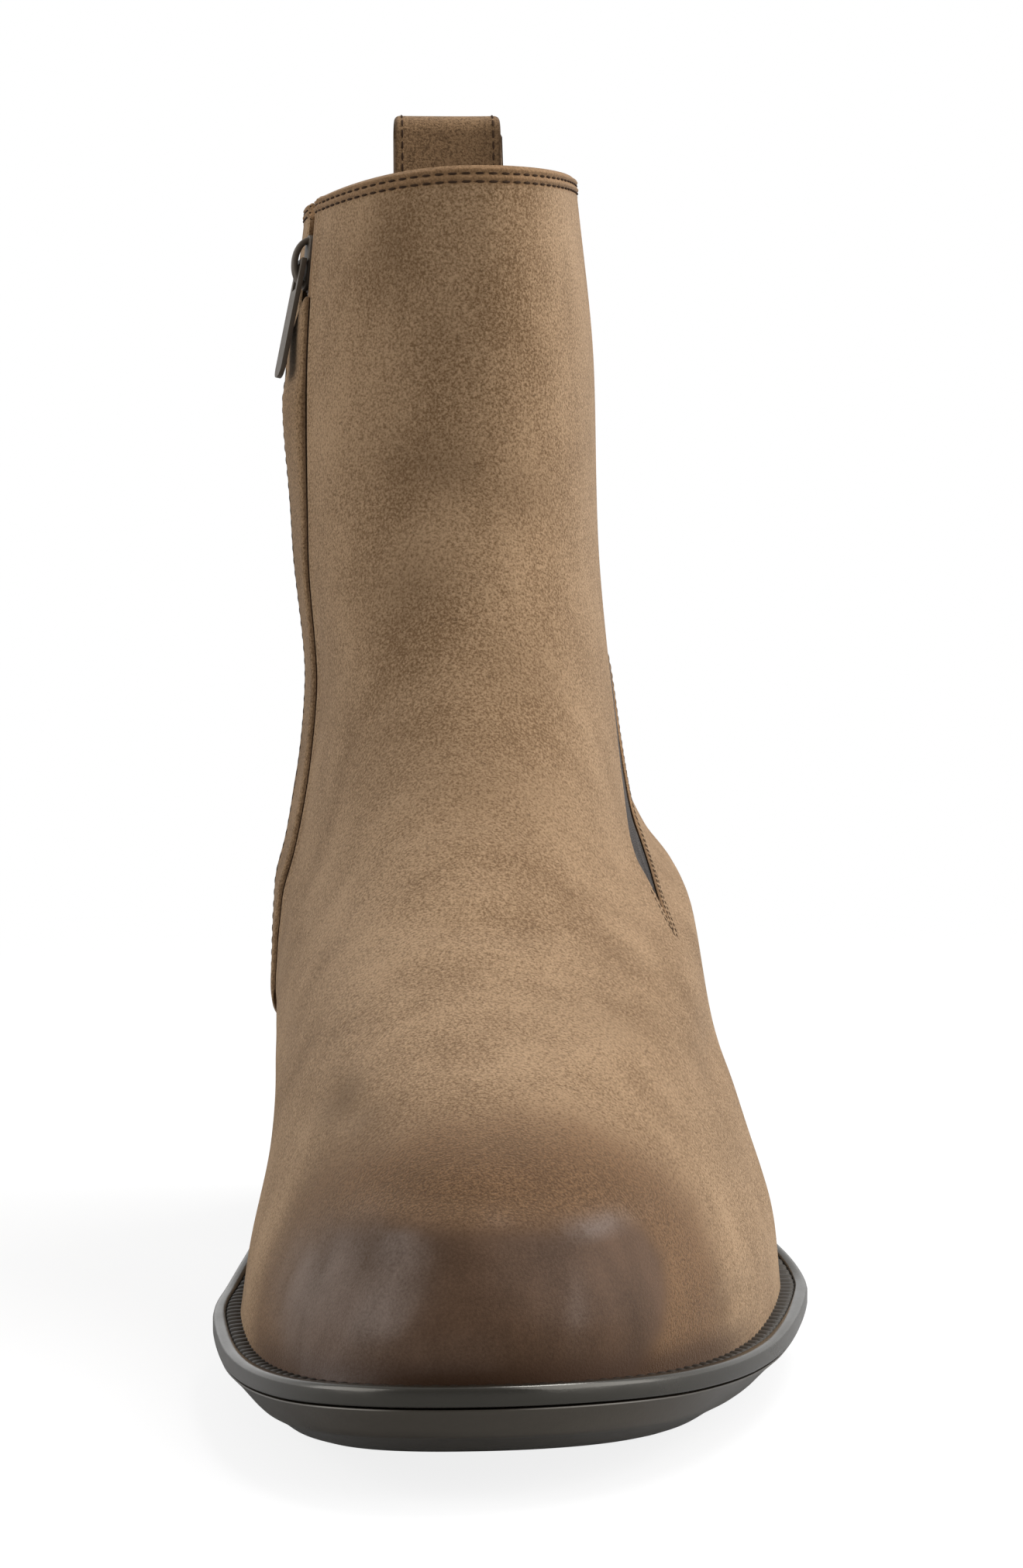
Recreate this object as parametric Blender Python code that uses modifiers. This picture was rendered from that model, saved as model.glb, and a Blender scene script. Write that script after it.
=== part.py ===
"""Left-foot ankle bootie with a side zip and an elastic gore, as separate solids.

Frame: metres, +Z up, toe towards -Y, heel towards +Y, +X the outer side of the foot.
The floor is z = 0. The tables and sizes below are in millimetres.
"""

import math
from collections import namedtuple

import bmesh
import bpy
import numpy as np
from mathutils import Matrix, Vector

MM = 0.001
GAP = 0.3

# Upper and welt
WALL = 2.0
WELT_THICK = 3.3
EDGE_CHAMFER = 0.6
WELT_MARGIN_SIDE = 4.8
WELT_MARGIN_TOE = 3.5
WELT_MARGIN_HEEL = 3.0
SEAT_GAP = 0.5

# Outsole, heel and insole
OUTSOLE_INSET = 0.4
HEEL_BREAST_Y = 66.0
HEEL_STATIONS = 12
HEEL_INSET = 1.4
HEEL_TAPER = 2.5
INSOLE_THICK = 2.6
INSOLE_INSET = 3.4

# Gore and zip
GORE_THICK = 1.4
GORE_SET_BACK = 0.4
GORE_CLEAR = 0.85
GORE_TOP_T = 0.995
CUTTER_IN = 2.9
CUTTER_OUT = 1.2
CHAIN_WIDTH = 6.0
CHAIN_THICK = 1.2
CHAIN_SET_BACK = 0.8
CHAIN_FROM_SEAM = 4.0
CHAIN_T = (0.20, 0.975)
CHAIN_END_GAP_T = 0.003
PLACKET_WIDTH = 15.0
PLACKET_FROM_SEAM = 0.6
PLACKET_THICK = 1.0
PLACKET_T = (0.18, 0.900)

# Slider and pull tab: across the zip, out from the boot, and along the zip
SLIDER_T = 0.950
SLIDER_STEP = 0.02
SLIDER_WIDTH = 5.2
SLIDER_THICK = 0.9
SLIDER_LENGTH = 10.5
SLIDER_LIFT = -0.7
SLIDER_ROUND = 0.3
BRIDGE_WIDTH = 2.0
BRIDGE_THICK = 0.6
BRIDGE_RISE = 1.4
BRIDGE_HALF_LENGTH = 4.7
PIVOT_OFF_FACE = 0.75
PULL_LENGTH = 23.0
PULL_WIDTH = 6.4
PULL_THICK = 0.9
PULL_LEAN_DEG = 5.5
PULL_TIP_DEG = 83.0
PULL_WINDOW_WIDTH = 3.2
PULL_WINDOW_REACH = 5.6

# Pull loop
LOOP_WIDTH = 21.4
LOOP_THICK = 1.5
LOOP_TOP_Z = 222.0
LOOP_HALF_FOLD = 2.7
LOOP_OUTER_T = 0.88
LOOP_INNER_T = 0.93
LOOP_FLATTEN = 0.5

# Mesh density
RING_SAMPLES = 161
COLUMNS = 48
RINGS = 31
COLUMN_EASE = 0.45
SOLE_STATIONS = 36
BREAST_STATIONS = 4
GORE_ROWS = 26
GORE_COLUMNS = 9
ZIP_ROWS = 24
CHAIN_COLUMNS = 3
PLACKET_COLUMNS = 5
BRIDGE_ROWS = 13
PULL_TIP_ROWS = 7
LOOP_COLUMNS = 7
LOOP_LEG_ROWS = 4
LOOP_BEND_ROWS = 9
NORMAL_STEP = 0.004
MERGE = 0.002
SHARP_DEG = 40.0

# Fractions of a ring's length, front to back, where its widths are given
FOREPART_AT = 0.18
BALL_AT = {"inner": 0.30, "outer": 0.36}
WAIST_AT = 0.65
HEEL_AT = 0.86

# Heights along the foot: y, welt top, outsole bottom
SoleLine = namedtuple("SoleLine", "y welt_top bottom")
SOLE_LINE = (
    SoleLine(-135, 18.9, 8.2),
    SoleLine(-110, 15.4, 4.2),
    SoleLine(-88, 13.4, 1.0),
    SoleLine(-74, 12.8, 0.0),
    SoleLine(-34, 12.8, 0.0),
    SoleLine(-15, 14.8, 1.6),
    SoleLine(12, 20.5, 8.6),
    SoleLine(42, 30.0, 19.0),
    SoleLine(66, 36.5, 26.0),
    SoleLine(100, 41.5, 31.0),
    SoleLine(136, 43.5, 33.0),
)

# Rounded lower edge of the outsole: how far in from its rim at each place, and how far up from its bottom
EdgeRow = namedtuple("EdgeRow", "toe outer inner heel up")
OUTSOLE_EDGE = (
    EdgeRow(1.6, 2.2, 1.8, 0.4, 5.4),
    EdgeRow(4.2, 7.0, 5.2, 0.4, 3.2),
    EdgeRow(6.6, 11.0, 8.0, 0.6, 1.3),
    EdgeRow(10.2, 15.2, 12.0, 1.2, 0.0),
)

# Front and back edges of the upper's tilted rings, from feather line (t = 0) to collar (t = 1)
Profile = namedtuple("Profile", "t front_x front_y front_z back_x back_y back_z inner_dip")
PROFILE = (
    Profile(0.00, -13.0, -131.0, 19.8, -4.5, 130.0, 43.8, 0.0),
    Profile(0.06, -13.0, -131.8, 26.5, -4.5, 132.0, 50.0, 0.0),
    Profile(0.13, -13.0, -128.0, 37.0, -4.5, 133.5, 57.0, 0.0),
    Profile(0.21, -12.5, -116.0, 47.0, -4.0, 134.0, 65.0, 0.0),
    Profile(0.29, -11.5, -97.0, 55.0, -4.0, 133.0, 74.0, 0.0),
    Profile(0.37, -10.5, -74.0, 63.0, -3.5, 131.0, 84.0, 0.0),
    Profile(0.45, -9.0, -49.0, 73.0, -3.5, 128.0, 95.0, 0.0),
    Profile(0.53, -7.5, -24.0, 87.0, -3.0, 125.0, 107.0, 0.0),
    Profile(0.61, -6.0, -2.0, 105.0, -3.0, 122.5, 121.0, 0.0),
    Profile(0.70, -4.5, 14.0, 129.0, -2.5, 121.5, 138.0, 0.0),
    Profile(0.80, -3.5, 21.5, 155.0, -2.0, 122.0, 158.0, 0.8),
    Profile(0.90, -2.5, 23.5, 181.0, -2.0, 124.0, 181.0, 2.4),
    Profile(1.00, -2.0, 24.0, 207.5, -1.5, 126.0, 205.0, 4.5),
)

# Half-widths of those rings at ball, waist and heel, and the shape of their two ends
Plan = namedtuple("Plan", "t ball_inner waist_inner heel_inner ball_outer waist_outer heel_outer "
                          "nose_inner nose_outer power_inner power_outer tail tail_power")
PLAN = (
    Plan(0.00, 37.6, 25.0, 27.0, 58.4, 36.5, 27.5, 0.40, 0.52, 2.5, 2.0, 0.13, 2.2),
    Plan(0.06, 36.3, 27.0, 28.5, 57.9, 38.5, 29.5, 0.42, 0.54, 2.4, 2.0, 0.14, 2.2),
    Plan(0.14, 33.2, 28.5, 29.5, 54.3, 40.5, 31.0, 0.48, 0.57, 2.2, 2.0, 0.16, 2.2),
    Plan(0.24, 32.0, 31.5, 30.5, 49.0, 43.0, 32.0, 0.55, 0.60, 2.0, 2.0, 0.18, 2.2),
    Plan(0.36, 30.5, 31.5, 30.5, 46.3, 44.0, 33.0, 0.62, 0.62, 2.0, 2.0, 0.22, 2.2),
    Plan(0.42, 28.8, 29.9, 30.0, 40.0, 38.5, 32.5, 0.61, 0.61, 2.0, 2.0, 0.25, 2.2),
    Plan(0.48, 27.5, 28.8, 29.0, 34.8, 34.5, 31.5, 0.60, 0.60, 2.0, 2.0, 0.28, 2.2),
    Plan(0.60, 26.8, 27.3, 27.5, 31.2, 31.7, 29.0, 0.55, 0.55, 2.0, 2.0, 0.36, 2.2),
    Plan(0.72, 30.5, 30.5, 30.0, 27.3, 27.3, 27.3, 0.50, 0.50, 2.1, 2.1, 0.45, 2.2),
    Plan(0.86, 32.7, 32.7, 32.0, 25.8, 25.8, 25.8, 0.50, 0.50, 2.1, 2.1, 0.48, 2.3),
    Plan(1.00, 30.0, 30.0, 29.5, 21.5, 21.5, 22.0, 0.50, 0.50, 2.1, 2.1, 0.48, 2.4),
)
FEATHER_FOLLOW_END = 0.5

# Edges of the gore's cut-out, as fractions of the outer side's length from front to back
GoreRow = namedtuple("GoreRow", "t front back")
GORE = (
    GoreRow(0.38, 0.330, 0.334),
    GoreRow(0.42, 0.345, 0.410),
    GoreRow(0.47, 0.375, 0.485),
    GoreRow(0.53, 0.400, 0.555),
    GoreRow(0.62, 0.400, 0.630),
    GoreRow(0.75, 0.405, 0.690),
    GoreRow(0.90, 0.395, 0.730),
    GoreRow(1.03, 0.385, 0.750),
)

# Seam where the front panel meets the zip, as a fraction of the inner side's length
SeamRow = namedtuple("SeamRow", "t at")
ZIP_SEAM = (
    SeamRow(0.15, 0.560),
    SeamRow(0.22, 0.547),
    SeamRow(0.32, 0.525),
    SeamRow(0.42, 0.495),
    SeamRow(0.52, 0.450),
    SeamRow(0.62, 0.390),
    SeamRow(0.72, 0.345),
    SeamRow(0.84, 0.325),
    SeamRow(1.03, 0.350),
)

Finish = namedtuple("Finish", "colour roughness metallic")
SUEDE = Finish((0.260, 0.178, 0.112), 0.9, 0.0)
DARK_SUEDE = Finish((0.160, 0.105, 0.064), 0.9, 0.0)
ELASTIC = Finish((0.090, 0.082, 0.076), 0.8, 0.0)
WELT_RUBBER = Finish((0.050, 0.047, 0.040), 0.4, 0.0)
SOLE_RUBBER = Finish((0.040, 0.034, 0.027), 0.4, 0.0)
INSOLE_LEATHER = Finish((0.330, 0.240, 0.160), 0.7, 0.0)
ZIP_TEETH = Finish((0.060, 0.048, 0.038), 0.6, 0.0)
ZIP_METAL = Finish((0.150, 0.120, 0.090), 0.35, 0.8)


def smooth(at, knots, values):
    """Read a smooth curve through the knots that never overshoots them."""
    knots = np.asarray(knots, float)
    values = np.asarray(values, float)
    steps = np.diff(knots)
    rises = np.diff(values) / steps
    slopes = np.zeros_like(values)
    for k in range(1, len(values) - 1):
        before, after = rises[k - 1], rises[k]
        if before * after > 0:
            slopes[k] = 2 * before * after / (before + after)
    slopes[0], slopes[-1] = rises[0], rises[-1]
    k = np.clip(np.searchsorted(knots, at, side="right") - 1, 0, len(knots) - 2)
    f = (at - knots[k]) / steps[k]
    ends = values[k] * (1 + 2 * f) * (1 - f) ** 2 + values[k + 1] * f * f * (3 - 2 * f)
    return ends + steps[k] * f * (1 - f) * (slopes[k] * (1 - f) - slopes[k + 1] * f)


def column(table, name, at):
    """Value of a table's named column at a place between its rows."""
    return smooth(at, [row[0] for row in table], [getattr(row, name) for row in table])


def half_width(side, s, t, grow=0.0):
    """Distance from the ring's axis to its edge, at s from front (0) to back (1)."""
    ball, waist, heel = (column(PLAN, f"{place}_{side}", t) for place in ("ball", "waist", "heel"))
    width = smooth(s, (0, BALL_AT[side], WAIST_AT, HEEL_AT, 1), (ball, ball, waist, heel, heel)) + grow
    nose, power = column(PLAN, f"nose_{side}", t), column(PLAN, f"power_{side}", t)
    tail, tail_power = column(PLAN, "tail", t), column(PLAN, "tail_power", t)
    front = 1 - np.clip(1 - s / nose, 0, 1) ** power
    back = 1 - np.clip(1 - (1 - s) / tail, 0, 1) ** tail_power
    return width * front ** (1 / power) * back ** (1 / tail_power)


def ring_axis(s, t):
    """Points on the line from a ring's front to its back."""
    front = [column(PROFILE, f"front_{axis}", t) for axis in "xyz"]
    back = [column(PROFILE, f"back_{axis}", t) for axis in "xyz"]
    return np.outer(1 - s, front) + np.outer(s, back)


def ring_side(side, t):
    """Points along one side of the upper's ring at t, from the front to the back."""
    s = (1 - np.cos(np.linspace(0, math.pi, RING_SAMPLES))) / 2
    points = ring_axis(s, t)
    feather = ring_axis(s, 0.0)
    settle = column(SOLE_LINE, "welt_top", feather[:, 1]) + SEAT_GAP - feather[:, 2]
    points[:, 2] += settle * max(0.0, 1 - t / FEATHER_FOLLOW_END) ** 2
    if side == "inner":
        points[:, 2] -= column(PROFILE, "inner_dip", t) * 4 * s * (1 - s)
    points[:, 0] += half_width(side, s, t) * (1 if side == "outer" else -1)
    return points


def arc_lengths(points):
    """Length run along a line of points, from its first to each one."""
    return np.concatenate(([0.0], np.cumsum(np.linalg.norm(np.diff(points, axis=0), axis=1))))


def side_and_fraction(u):
    """Split a place around the ring (0 front, 0.5 back, outer side first) into side and fraction."""
    u = u % 1.0
    return ("outer", 2 * u) if u <= 0.5 else ("inner", 2 * (1 - u))


def on_upper(u, t):
    """Point of the upper's outer surface at u around the ring and t up it."""
    side, fraction = side_and_fraction(u)
    points = ring_side(side, t)
    run = arc_lengths(points)
    return np.array([np.interp(fraction * run[-1], run, points[:, k]) for k in range(3)])


def upper_normal(u, t):
    """Outward unit normal of the upper's surface."""
    around = on_upper(u + NORMAL_STEP, t) - on_upper(u - NORMAL_STEP, t)
    upward = on_upper(u, t + NORMAL_STEP) - on_upper(u, t - NORMAL_STEP)
    normal = np.cross(around, upward)
    return normal / np.linalg.norm(normal)


def off_upper(u, t, height):
    """Point at a height over the upper's surface, below it where the height is negative."""
    return on_upper(u, t) + upper_normal(u, t) * height


def inner_place(t, past_seam):
    """Place around the ring on the inner side, a length past the zip's seam towards the heel."""
    length = arc_lengths(ring_side("inner", t))[-1]
    return 1 - (column(ZIP_SEAM, "at", t) + past_seam / length) / 2


def material(name, finish):
    """Principled material with the finish's colour, roughness and metallic value."""
    made = bpy.data.materials.new(name)
    made.use_nodes = True
    shader = made.node_tree.nodes["Principled BSDF"]
    shader.inputs["Base Color"].default_value = (*finish.colour, 1.0)
    shader.inputs["Roughness"].default_value = finish.roughness
    shader.inputs["Metallic"].default_value = finish.metallic
    made.diffuse_color = (*finish.colour, 1.0)
    return made


def new_object(name, points, faces, group, finish=None):
    """Mesh object from points in millimetres, with coincident points merged."""
    mesh = bpy.data.meshes.new(name)
    mesh.from_pydata([tuple(p * MM for p in point) for point in points], [], faces)
    shape = bmesh.new()
    shape.from_mesh(mesh)
    bmesh.ops.remove_doubles(shape, verts=shape.verts, dist=MERGE * MM)
    bmesh.ops.dissolve_degenerate(shape, edges=shape.edges, dist=MERGE * MM / 2)
    bmesh.ops.recalc_face_normals(shape, faces=shape.faces)
    shape.to_mesh(mesh)
    shape.free()
    made = bpy.data.objects.new(name, mesh)
    group.objects.link(made)
    if finish is not None:
        mesh.materials.append(material(name, finish))
        mesh.shade_smooth()
        mesh.set_sharp_from_angle(angle=math.radians(SHARP_DEG))
    return made


def cutter(made):
    """Mark an object as a cutter that isn't part of the boot."""
    made.hide_render = True
    made.display_type = 'WIRE'
    return made


def cut(made, tool):
    """Subtract a cutter from an object."""
    change = made.modifiers.new(f"cut_{tool.name}", 'BOOLEAN')
    change.operation = 'DIFFERENCE'
    change.solver = 'EXACT'
    change.object = tool


def band_faces(first, second, closed):
    """Quads between two rows of point numbers."""
    count = len(first)
    last = count if closed else count - 1
    return [(first[k], first[(k + 1) % count], second[(k + 1) % count], second[k]) for k in range(last)]


def sole_ring(inset, height, edge=None):
    """Outline of the sole at the height that height(y) gives, pulled in by an inset or by an edge row's insets."""
    edge = edge or EdgeRow(inset, inset, inset, inset, 0.0)
    s = (1 - np.cos(np.linspace(0, math.pi, SOLE_STATIONS + 1))) / 2
    pull_outer, pull_inner = (smooth(s, (0, FOREPART_AT, WAIST_AT, HEEL_AT, 1),
                                     (edge.toe, side, side, edge.heel, edge.heel))
                              for side in (edge.outer, edge.inner))
    axis = ring_axis(s, 0.0)
    front = axis[0, 1] - WELT_MARGIN_TOE + edge.toe
    back = axis[-1, 1] + WELT_MARGIN_HEEL - edge.heel
    y = front + s * (back - front)
    x_outer = axis[:, 0] + half_width("outer", s, 0.0, WELT_MARGIN_SIDE - pull_outer)
    x_inner = axis[:, 0] - half_width("inner", s, 0.0, WELT_MARGIN_SIDE - pull_inner)
    z = height(y)
    return np.column_stack((x_outer, y, z)), np.column_stack((x_inner, y, z))


def sole_solid(name, rings, group, finish):
    """Closed solid through outline rings, top to bottom, with strips across its two faces."""
    points = np.concatenate([np.concatenate((outer, inner[::-1])) for outer, inner in rings])
    size = 2 * (SOLE_STATIONS + 1)
    loops = [list(range(k * size, (k + 1) * size)) for k in range(len(rings))]
    faces = []
    for upper, lower in zip(loops, loops[1:]):
        faces += band_faces(upper, lower, closed=True)
    for loop in (loops[0], loops[-1]):
        faces += band_faces(loop[:size // 2], loop[size // 2:][::-1], closed=False)
    return new_object(name, points, faces, group, finish)


def welt_top(y):
    """Height of the welt's upper face."""
    return column(SOLE_LINE, "welt_top", y)


def outsole_bottom(y):
    """Height of the outsole's lower face."""
    return column(SOLE_LINE, "bottom", y)


def build_welt(group):
    """Midsole strip whose rim shows all round the upper."""
    rings = (
        sole_ring(EDGE_CHAMFER, welt_top),
        sole_ring(0.0, lambda y: welt_top(y) - EDGE_CHAMFER),
        sole_ring(0.0, lambda y: welt_top(y) - WELT_THICK + EDGE_CHAMFER),
        sole_ring(EDGE_CHAMFER, lambda y: welt_top(y) - WELT_THICK),
    )
    return sole_solid("welt", rings, group, WELT_RUBBER)


def build_outsole(group):
    """Moulded sole with toe spring, arch and a bevel round its lower edge."""
    def top(y):
        return welt_top(y) - WELT_THICK - GAP

    rings = (
        sole_ring(OUTSOLE_INSET + EDGE_CHAMFER, top),
        sole_ring(OUTSOLE_INSET, lambda y: top(y) - EDGE_CHAMFER),
        *(sole_ring(edge.toe, lambda y, up=edge.up: outsole_bottom(y) + up, edge)
          for edge in OUTSOLE_EDGE),
    )
    return sole_solid("outsole", rings, group, SOLE_RUBBER)


def build_insole(group):
    """Footbed inside the upper."""
    inset = WELT_MARGIN_SIDE + INSOLE_INSET
    rings = (
        sole_ring(inset, lambda y: welt_top(y) + GAP + INSOLE_THICK),
        sole_ring(inset, lambda y: welt_top(y) + GAP),
    )
    return sole_solid("insole", rings, group, INSOLE_LEATHER)


def build_heel(group):
    """Block under the seat, cut straight at its breast and flat on the floor."""
    def seat(y):
        return outsole_bottom(y) - GAP

    def floor(y):
        return 0 * y

    loops = []
    for inset, height in ((HEEL_INSET, seat), (HEEL_INSET + HEEL_TAPER, floor)):
        outer, inner = sole_ring(inset, height)
        back = outer[-HEEL_STATIONS:, 1]
        y = np.concatenate((np.linspace(HEEL_BREAST_Y, back[0], BREAST_STATIONS)[:-1], back))
        x_outer, x_inner = (np.interp(y, side[:, 1], side[:, 0]) for side in (outer, inner))
        sides = [np.column_stack((x, y, height(y))) for x in (x_outer, x_inner)]
        loops.append(np.concatenate((sides[0], sides[1][::-1])))
    return loft_solid("heel", loops, group, SOLE_RUBBER)


def build_upper(group):
    """Vamp, quarters and shaft as one shell of even wall, open at the collar and underneath."""
    points, loops = [], []
    for t in np.linspace(0, 1, RINGS):
        ring = []
        for side in ("outer", "inner"):
            line = ring_side(side, t)
            run = arc_lengths(line)
            v = np.linspace(0, 1, COLUMNS // 2 + 1)
            places = (v - COLUMN_EASE * np.sin(2 * math.pi * v) / (2 * math.pi)) * run[-1]
            found = np.column_stack([np.interp(places, run, line[:, k]) for k in range(3)])
            ring += list(found[:-1]) if side == "outer" else list(found[:0:-1])
        loops.append(list(range(len(points), len(points) + len(ring))))
        points += ring
    faces = []
    for lower, upper in zip(loops, loops[1:]):
        faces += band_faces(lower, upper, closed=True)
    made = new_object("upper", points, faces, group, SUEDE)
    wall = made.modifiers.new("wall", 'SOLIDIFY')
    wall.thickness = WALL * MM
    wall.offset = -1.0
    wall.use_even_offset = True
    return made


def loft_solid(name, loops, group, finish=None):
    """Closed solid through equal loops of points; each loop's halves lie across from each other."""
    size = len(loops[0])
    points = [point for loop in loops for point in loop]
    rows = [list(range(k * size, (k + 1) * size)) for k in range(len(loops))]
    faces = []
    for first, second in zip(rows, rows[1:]):
        faces += band_faces(first, second, closed=True)
    for row in (rows[0], rows[-1]):
        faces += band_faces(row[:size // 2], row[size // 2:][::-1], closed=False)
    return new_object(name, points, faces, group, finish)


def patch_solid(name, t_rows, place, columns, low, high, group, finish=None):
    """Closed solid between two heights over the upper; place(t, f) runs across it."""
    loops = []
    for t in t_rows:
        across = [place(t, f) for f in np.linspace(0, 1, columns)]
        loops.append([off_upper(u, t, high) for u in across] + [off_upper(u, t, low) for u in across[::-1]])
    return loft_solid(name, loops, group, finish)


def gore_place(clear):
    """Place across the gore's cut-out, kept clear of its two edges by a length."""
    def place(t, f):
        length = arc_lengths(ring_side("outer", t))[-1]
        front = column(GORE, "front", t) + clear / length
        back = column(GORE, "back", t) - clear / length
        return (front + (back - front) * f) / 2
    return place


def build_gore(group, cutters, upper):
    """Elastic panel on the outer side and the cut-out that holds it."""
    rows = np.linspace(GORE[0].t, GORE_TOP_T, GORE_ROWS)
    tool = patch_solid("gore_cutter", [*rows, GORE[-1].t], gore_place(0.0), GORE_COLUMNS,
                       -CUTTER_IN, CUTTER_OUT, cutters)
    cut(upper, cutter(tool))
    return patch_solid("elastic_gore", rows[1:], gore_place(GORE_CLEAR), GORE_COLUMNS,
                       -GORE_SET_BACK - GORE_THICK, -GORE_SET_BACK, group, ELASTIC)


def chain_place(clear):
    """Place across the zip's slit, kept clear of its two edges by a length."""
    def place(t, f):
        return inner_place(t, CHAIN_FROM_SEAM + clear + (CHAIN_WIDTH - 2 * clear) * f)
    return place


def build_zip_chain(group, cutters, upper):
    """Closed teeth and the slit in the upper that they fill."""
    rows = np.linspace(*CHAIN_T, ZIP_ROWS)
    tool = patch_solid("zip_cutter", [*rows, ZIP_SEAM[-1].t], chain_place(0.0), CHAIN_COLUMNS,
                       -CUTTER_IN, CUTTER_OUT, cutters)
    cut(upper, cutter(tool))
    rows[0] += CHAIN_END_GAP_T
    return patch_solid("zip_chain", rows, chain_place(GAP), CHAIN_COLUMNS,
                       -CHAIN_SET_BACK - CHAIN_THICK, -CHAIN_SET_BACK, group, ZIP_TEETH)


def build_placket(group):
    """Suede strip over the zip, standing proud of the upper."""
    def place(t, f):
        return inner_place(t, PLACKET_FROM_SEAM + PLACKET_WIDTH * f)

    rows = np.linspace(*PLACKET_T, ZIP_ROWS)
    return patch_solid("zip_placket", rows, place, PLACKET_COLUMNS,
                       GAP, GAP + PLACKET_THICK, group, DARK_SUEDE)


def zip_frame():
    """Frame on the zip's face: X across it towards the heel, Y out of the boot, Z up along it."""
    middle = CHAIN_FROM_SEAM + CHAIN_WIDTH / 2
    u = inner_place(SLIDER_T, middle)
    out = Vector(upper_normal(u, SLIDER_T))
    low, high = (Vector(on_upper(inner_place(t, middle), t)) for t in (SLIDER_T - SLIDER_STEP, SLIDER_T + SLIDER_STEP))
    across = out.cross(high - low).normalized()
    along = across.cross(out)
    turn = Matrix((across, out, along)).transposed().to_4x4()
    return Matrix.Translation(Vector(on_upper(u, SLIDER_T)) * MM) @ turn


def box_loops(across, ends):
    """Rectangular loops (across x out) at places along the zip; ends lists (along, out low, out high)."""
    half = across / 2
    return [[(-half, low, z), (half, low, z), (half, high, z), (-half, high, z)] for z, low, high in ends]


def build_slider(group, cutters, frame):
    """Slider plate on the zip with the bridge that holds the pull tab."""
    face = SLIDER_LIFT + SLIDER_THICK
    half = SLIDER_LENGTH / 2
    plate = box_loops(SLIDER_WIDTH, ((-half, SLIDER_LIFT, face), (half, SLIDER_LIFT, face)))
    made = loft_solid("zip_slider", plate, group, ZIP_METAL)
    rounding = made.modifiers.new("rounding", 'BEVEL')
    rounding.width = SLIDER_ROUND * MM
    rounding.segments = 2
    arch = []
    foot = -PIVOT_OFF_FACE - SLIDER_THICK / 2
    width = BRIDGE_WIDTH / 2
    for angle in np.linspace(-math.pi / 2, math.pi / 2, BRIDGE_ROWS):
        rows = []
        for rise, reach in ((BRIDGE_RISE - BRIDGE_THICK, BRIDGE_HALF_LENGTH - BRIDGE_THICK),
                            (BRIDGE_RISE, BRIDGE_HALF_LENGTH)):
            out = foot + (rise - foot) * math.cos(angle)
            rows.append((face + PIVOT_OFF_FACE + out, reach * math.sin(angle)))
        (low, low_z), (high, high_z) = rows
        arch.append([(-width, low, low_z), (width, low, low_z),
                     (width, high, high_z), (-width, high, high_z)])
    bridge = cutter(loft_solid("slider_bridge", arch, cutters))
    join = made.modifiers.new("bridge", 'BOOLEAN')
    join.operation = 'UNION'
    join.solver = 'EXACT'
    join.object = bridge
    for piece in (made, bridge):
        piece.matrix_world = frame
    return made


def build_pull(group, cutters, frame):
    """Tab that swings on its crossbar under the slider's bridge."""
    hinge = bpy.data.objects.new("zip_pull_hinge", None)
    group.objects.link(hinge)
    pivot = Matrix.Translation((0, (SLIDER_LIFT + SLIDER_THICK + PIVOT_OFF_FACE) * MM, 0))
    lean = Matrix.Rotation(math.radians(PULL_LEAN_DEG), 4, 'X')
    hinge.matrix_world = frame @ pivot @ lean
    half_bar = PULL_THICK / 2
    tip_round = PULL_WIDTH / 2
    straight_end = half_bar - PULL_LENGTH + tip_round
    loops = box_loops(PULL_WIDTH, ((half_bar, -half_bar, half_bar), (straight_end, -half_bar, half_bar)))
    for angle in np.radians(np.linspace(0, PULL_TIP_DEG, PULL_TIP_ROWS)[1:]):
        loops += box_loops(PULL_WIDTH * math.cos(angle),
                           ((straight_end - tip_round * math.sin(angle), -half_bar, half_bar),))
    made = loft_solid("zip_pull", loops, group, ZIP_METAL)
    window = box_loops(PULL_WINDOW_WIDTH, ((-PULL_WINDOW_REACH, -PULL_WIDTH, PULL_WIDTH),
                                           (-half_bar, -PULL_WIDTH, PULL_WIDTH)))
    tool = cutter(loft_solid("pull_window", window, cutters))
    cut(made, tool)
    for piece in (made, tool):
        piece.parent = hinge
    return made


def back_of_upper(x, t):
    """Point of the upper's back at a place across the boot."""
    side = "outer" if x >= column(PROFILE, "back_x", t) else "inner"
    tail = ring_side(side, t)[RING_SAMPLES // 2:]
    order = np.argsort(tail[:, 0])
    return [float(np.interp(x, tail[order, 0], tail[order, k])) for k in (1, 2)]


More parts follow.
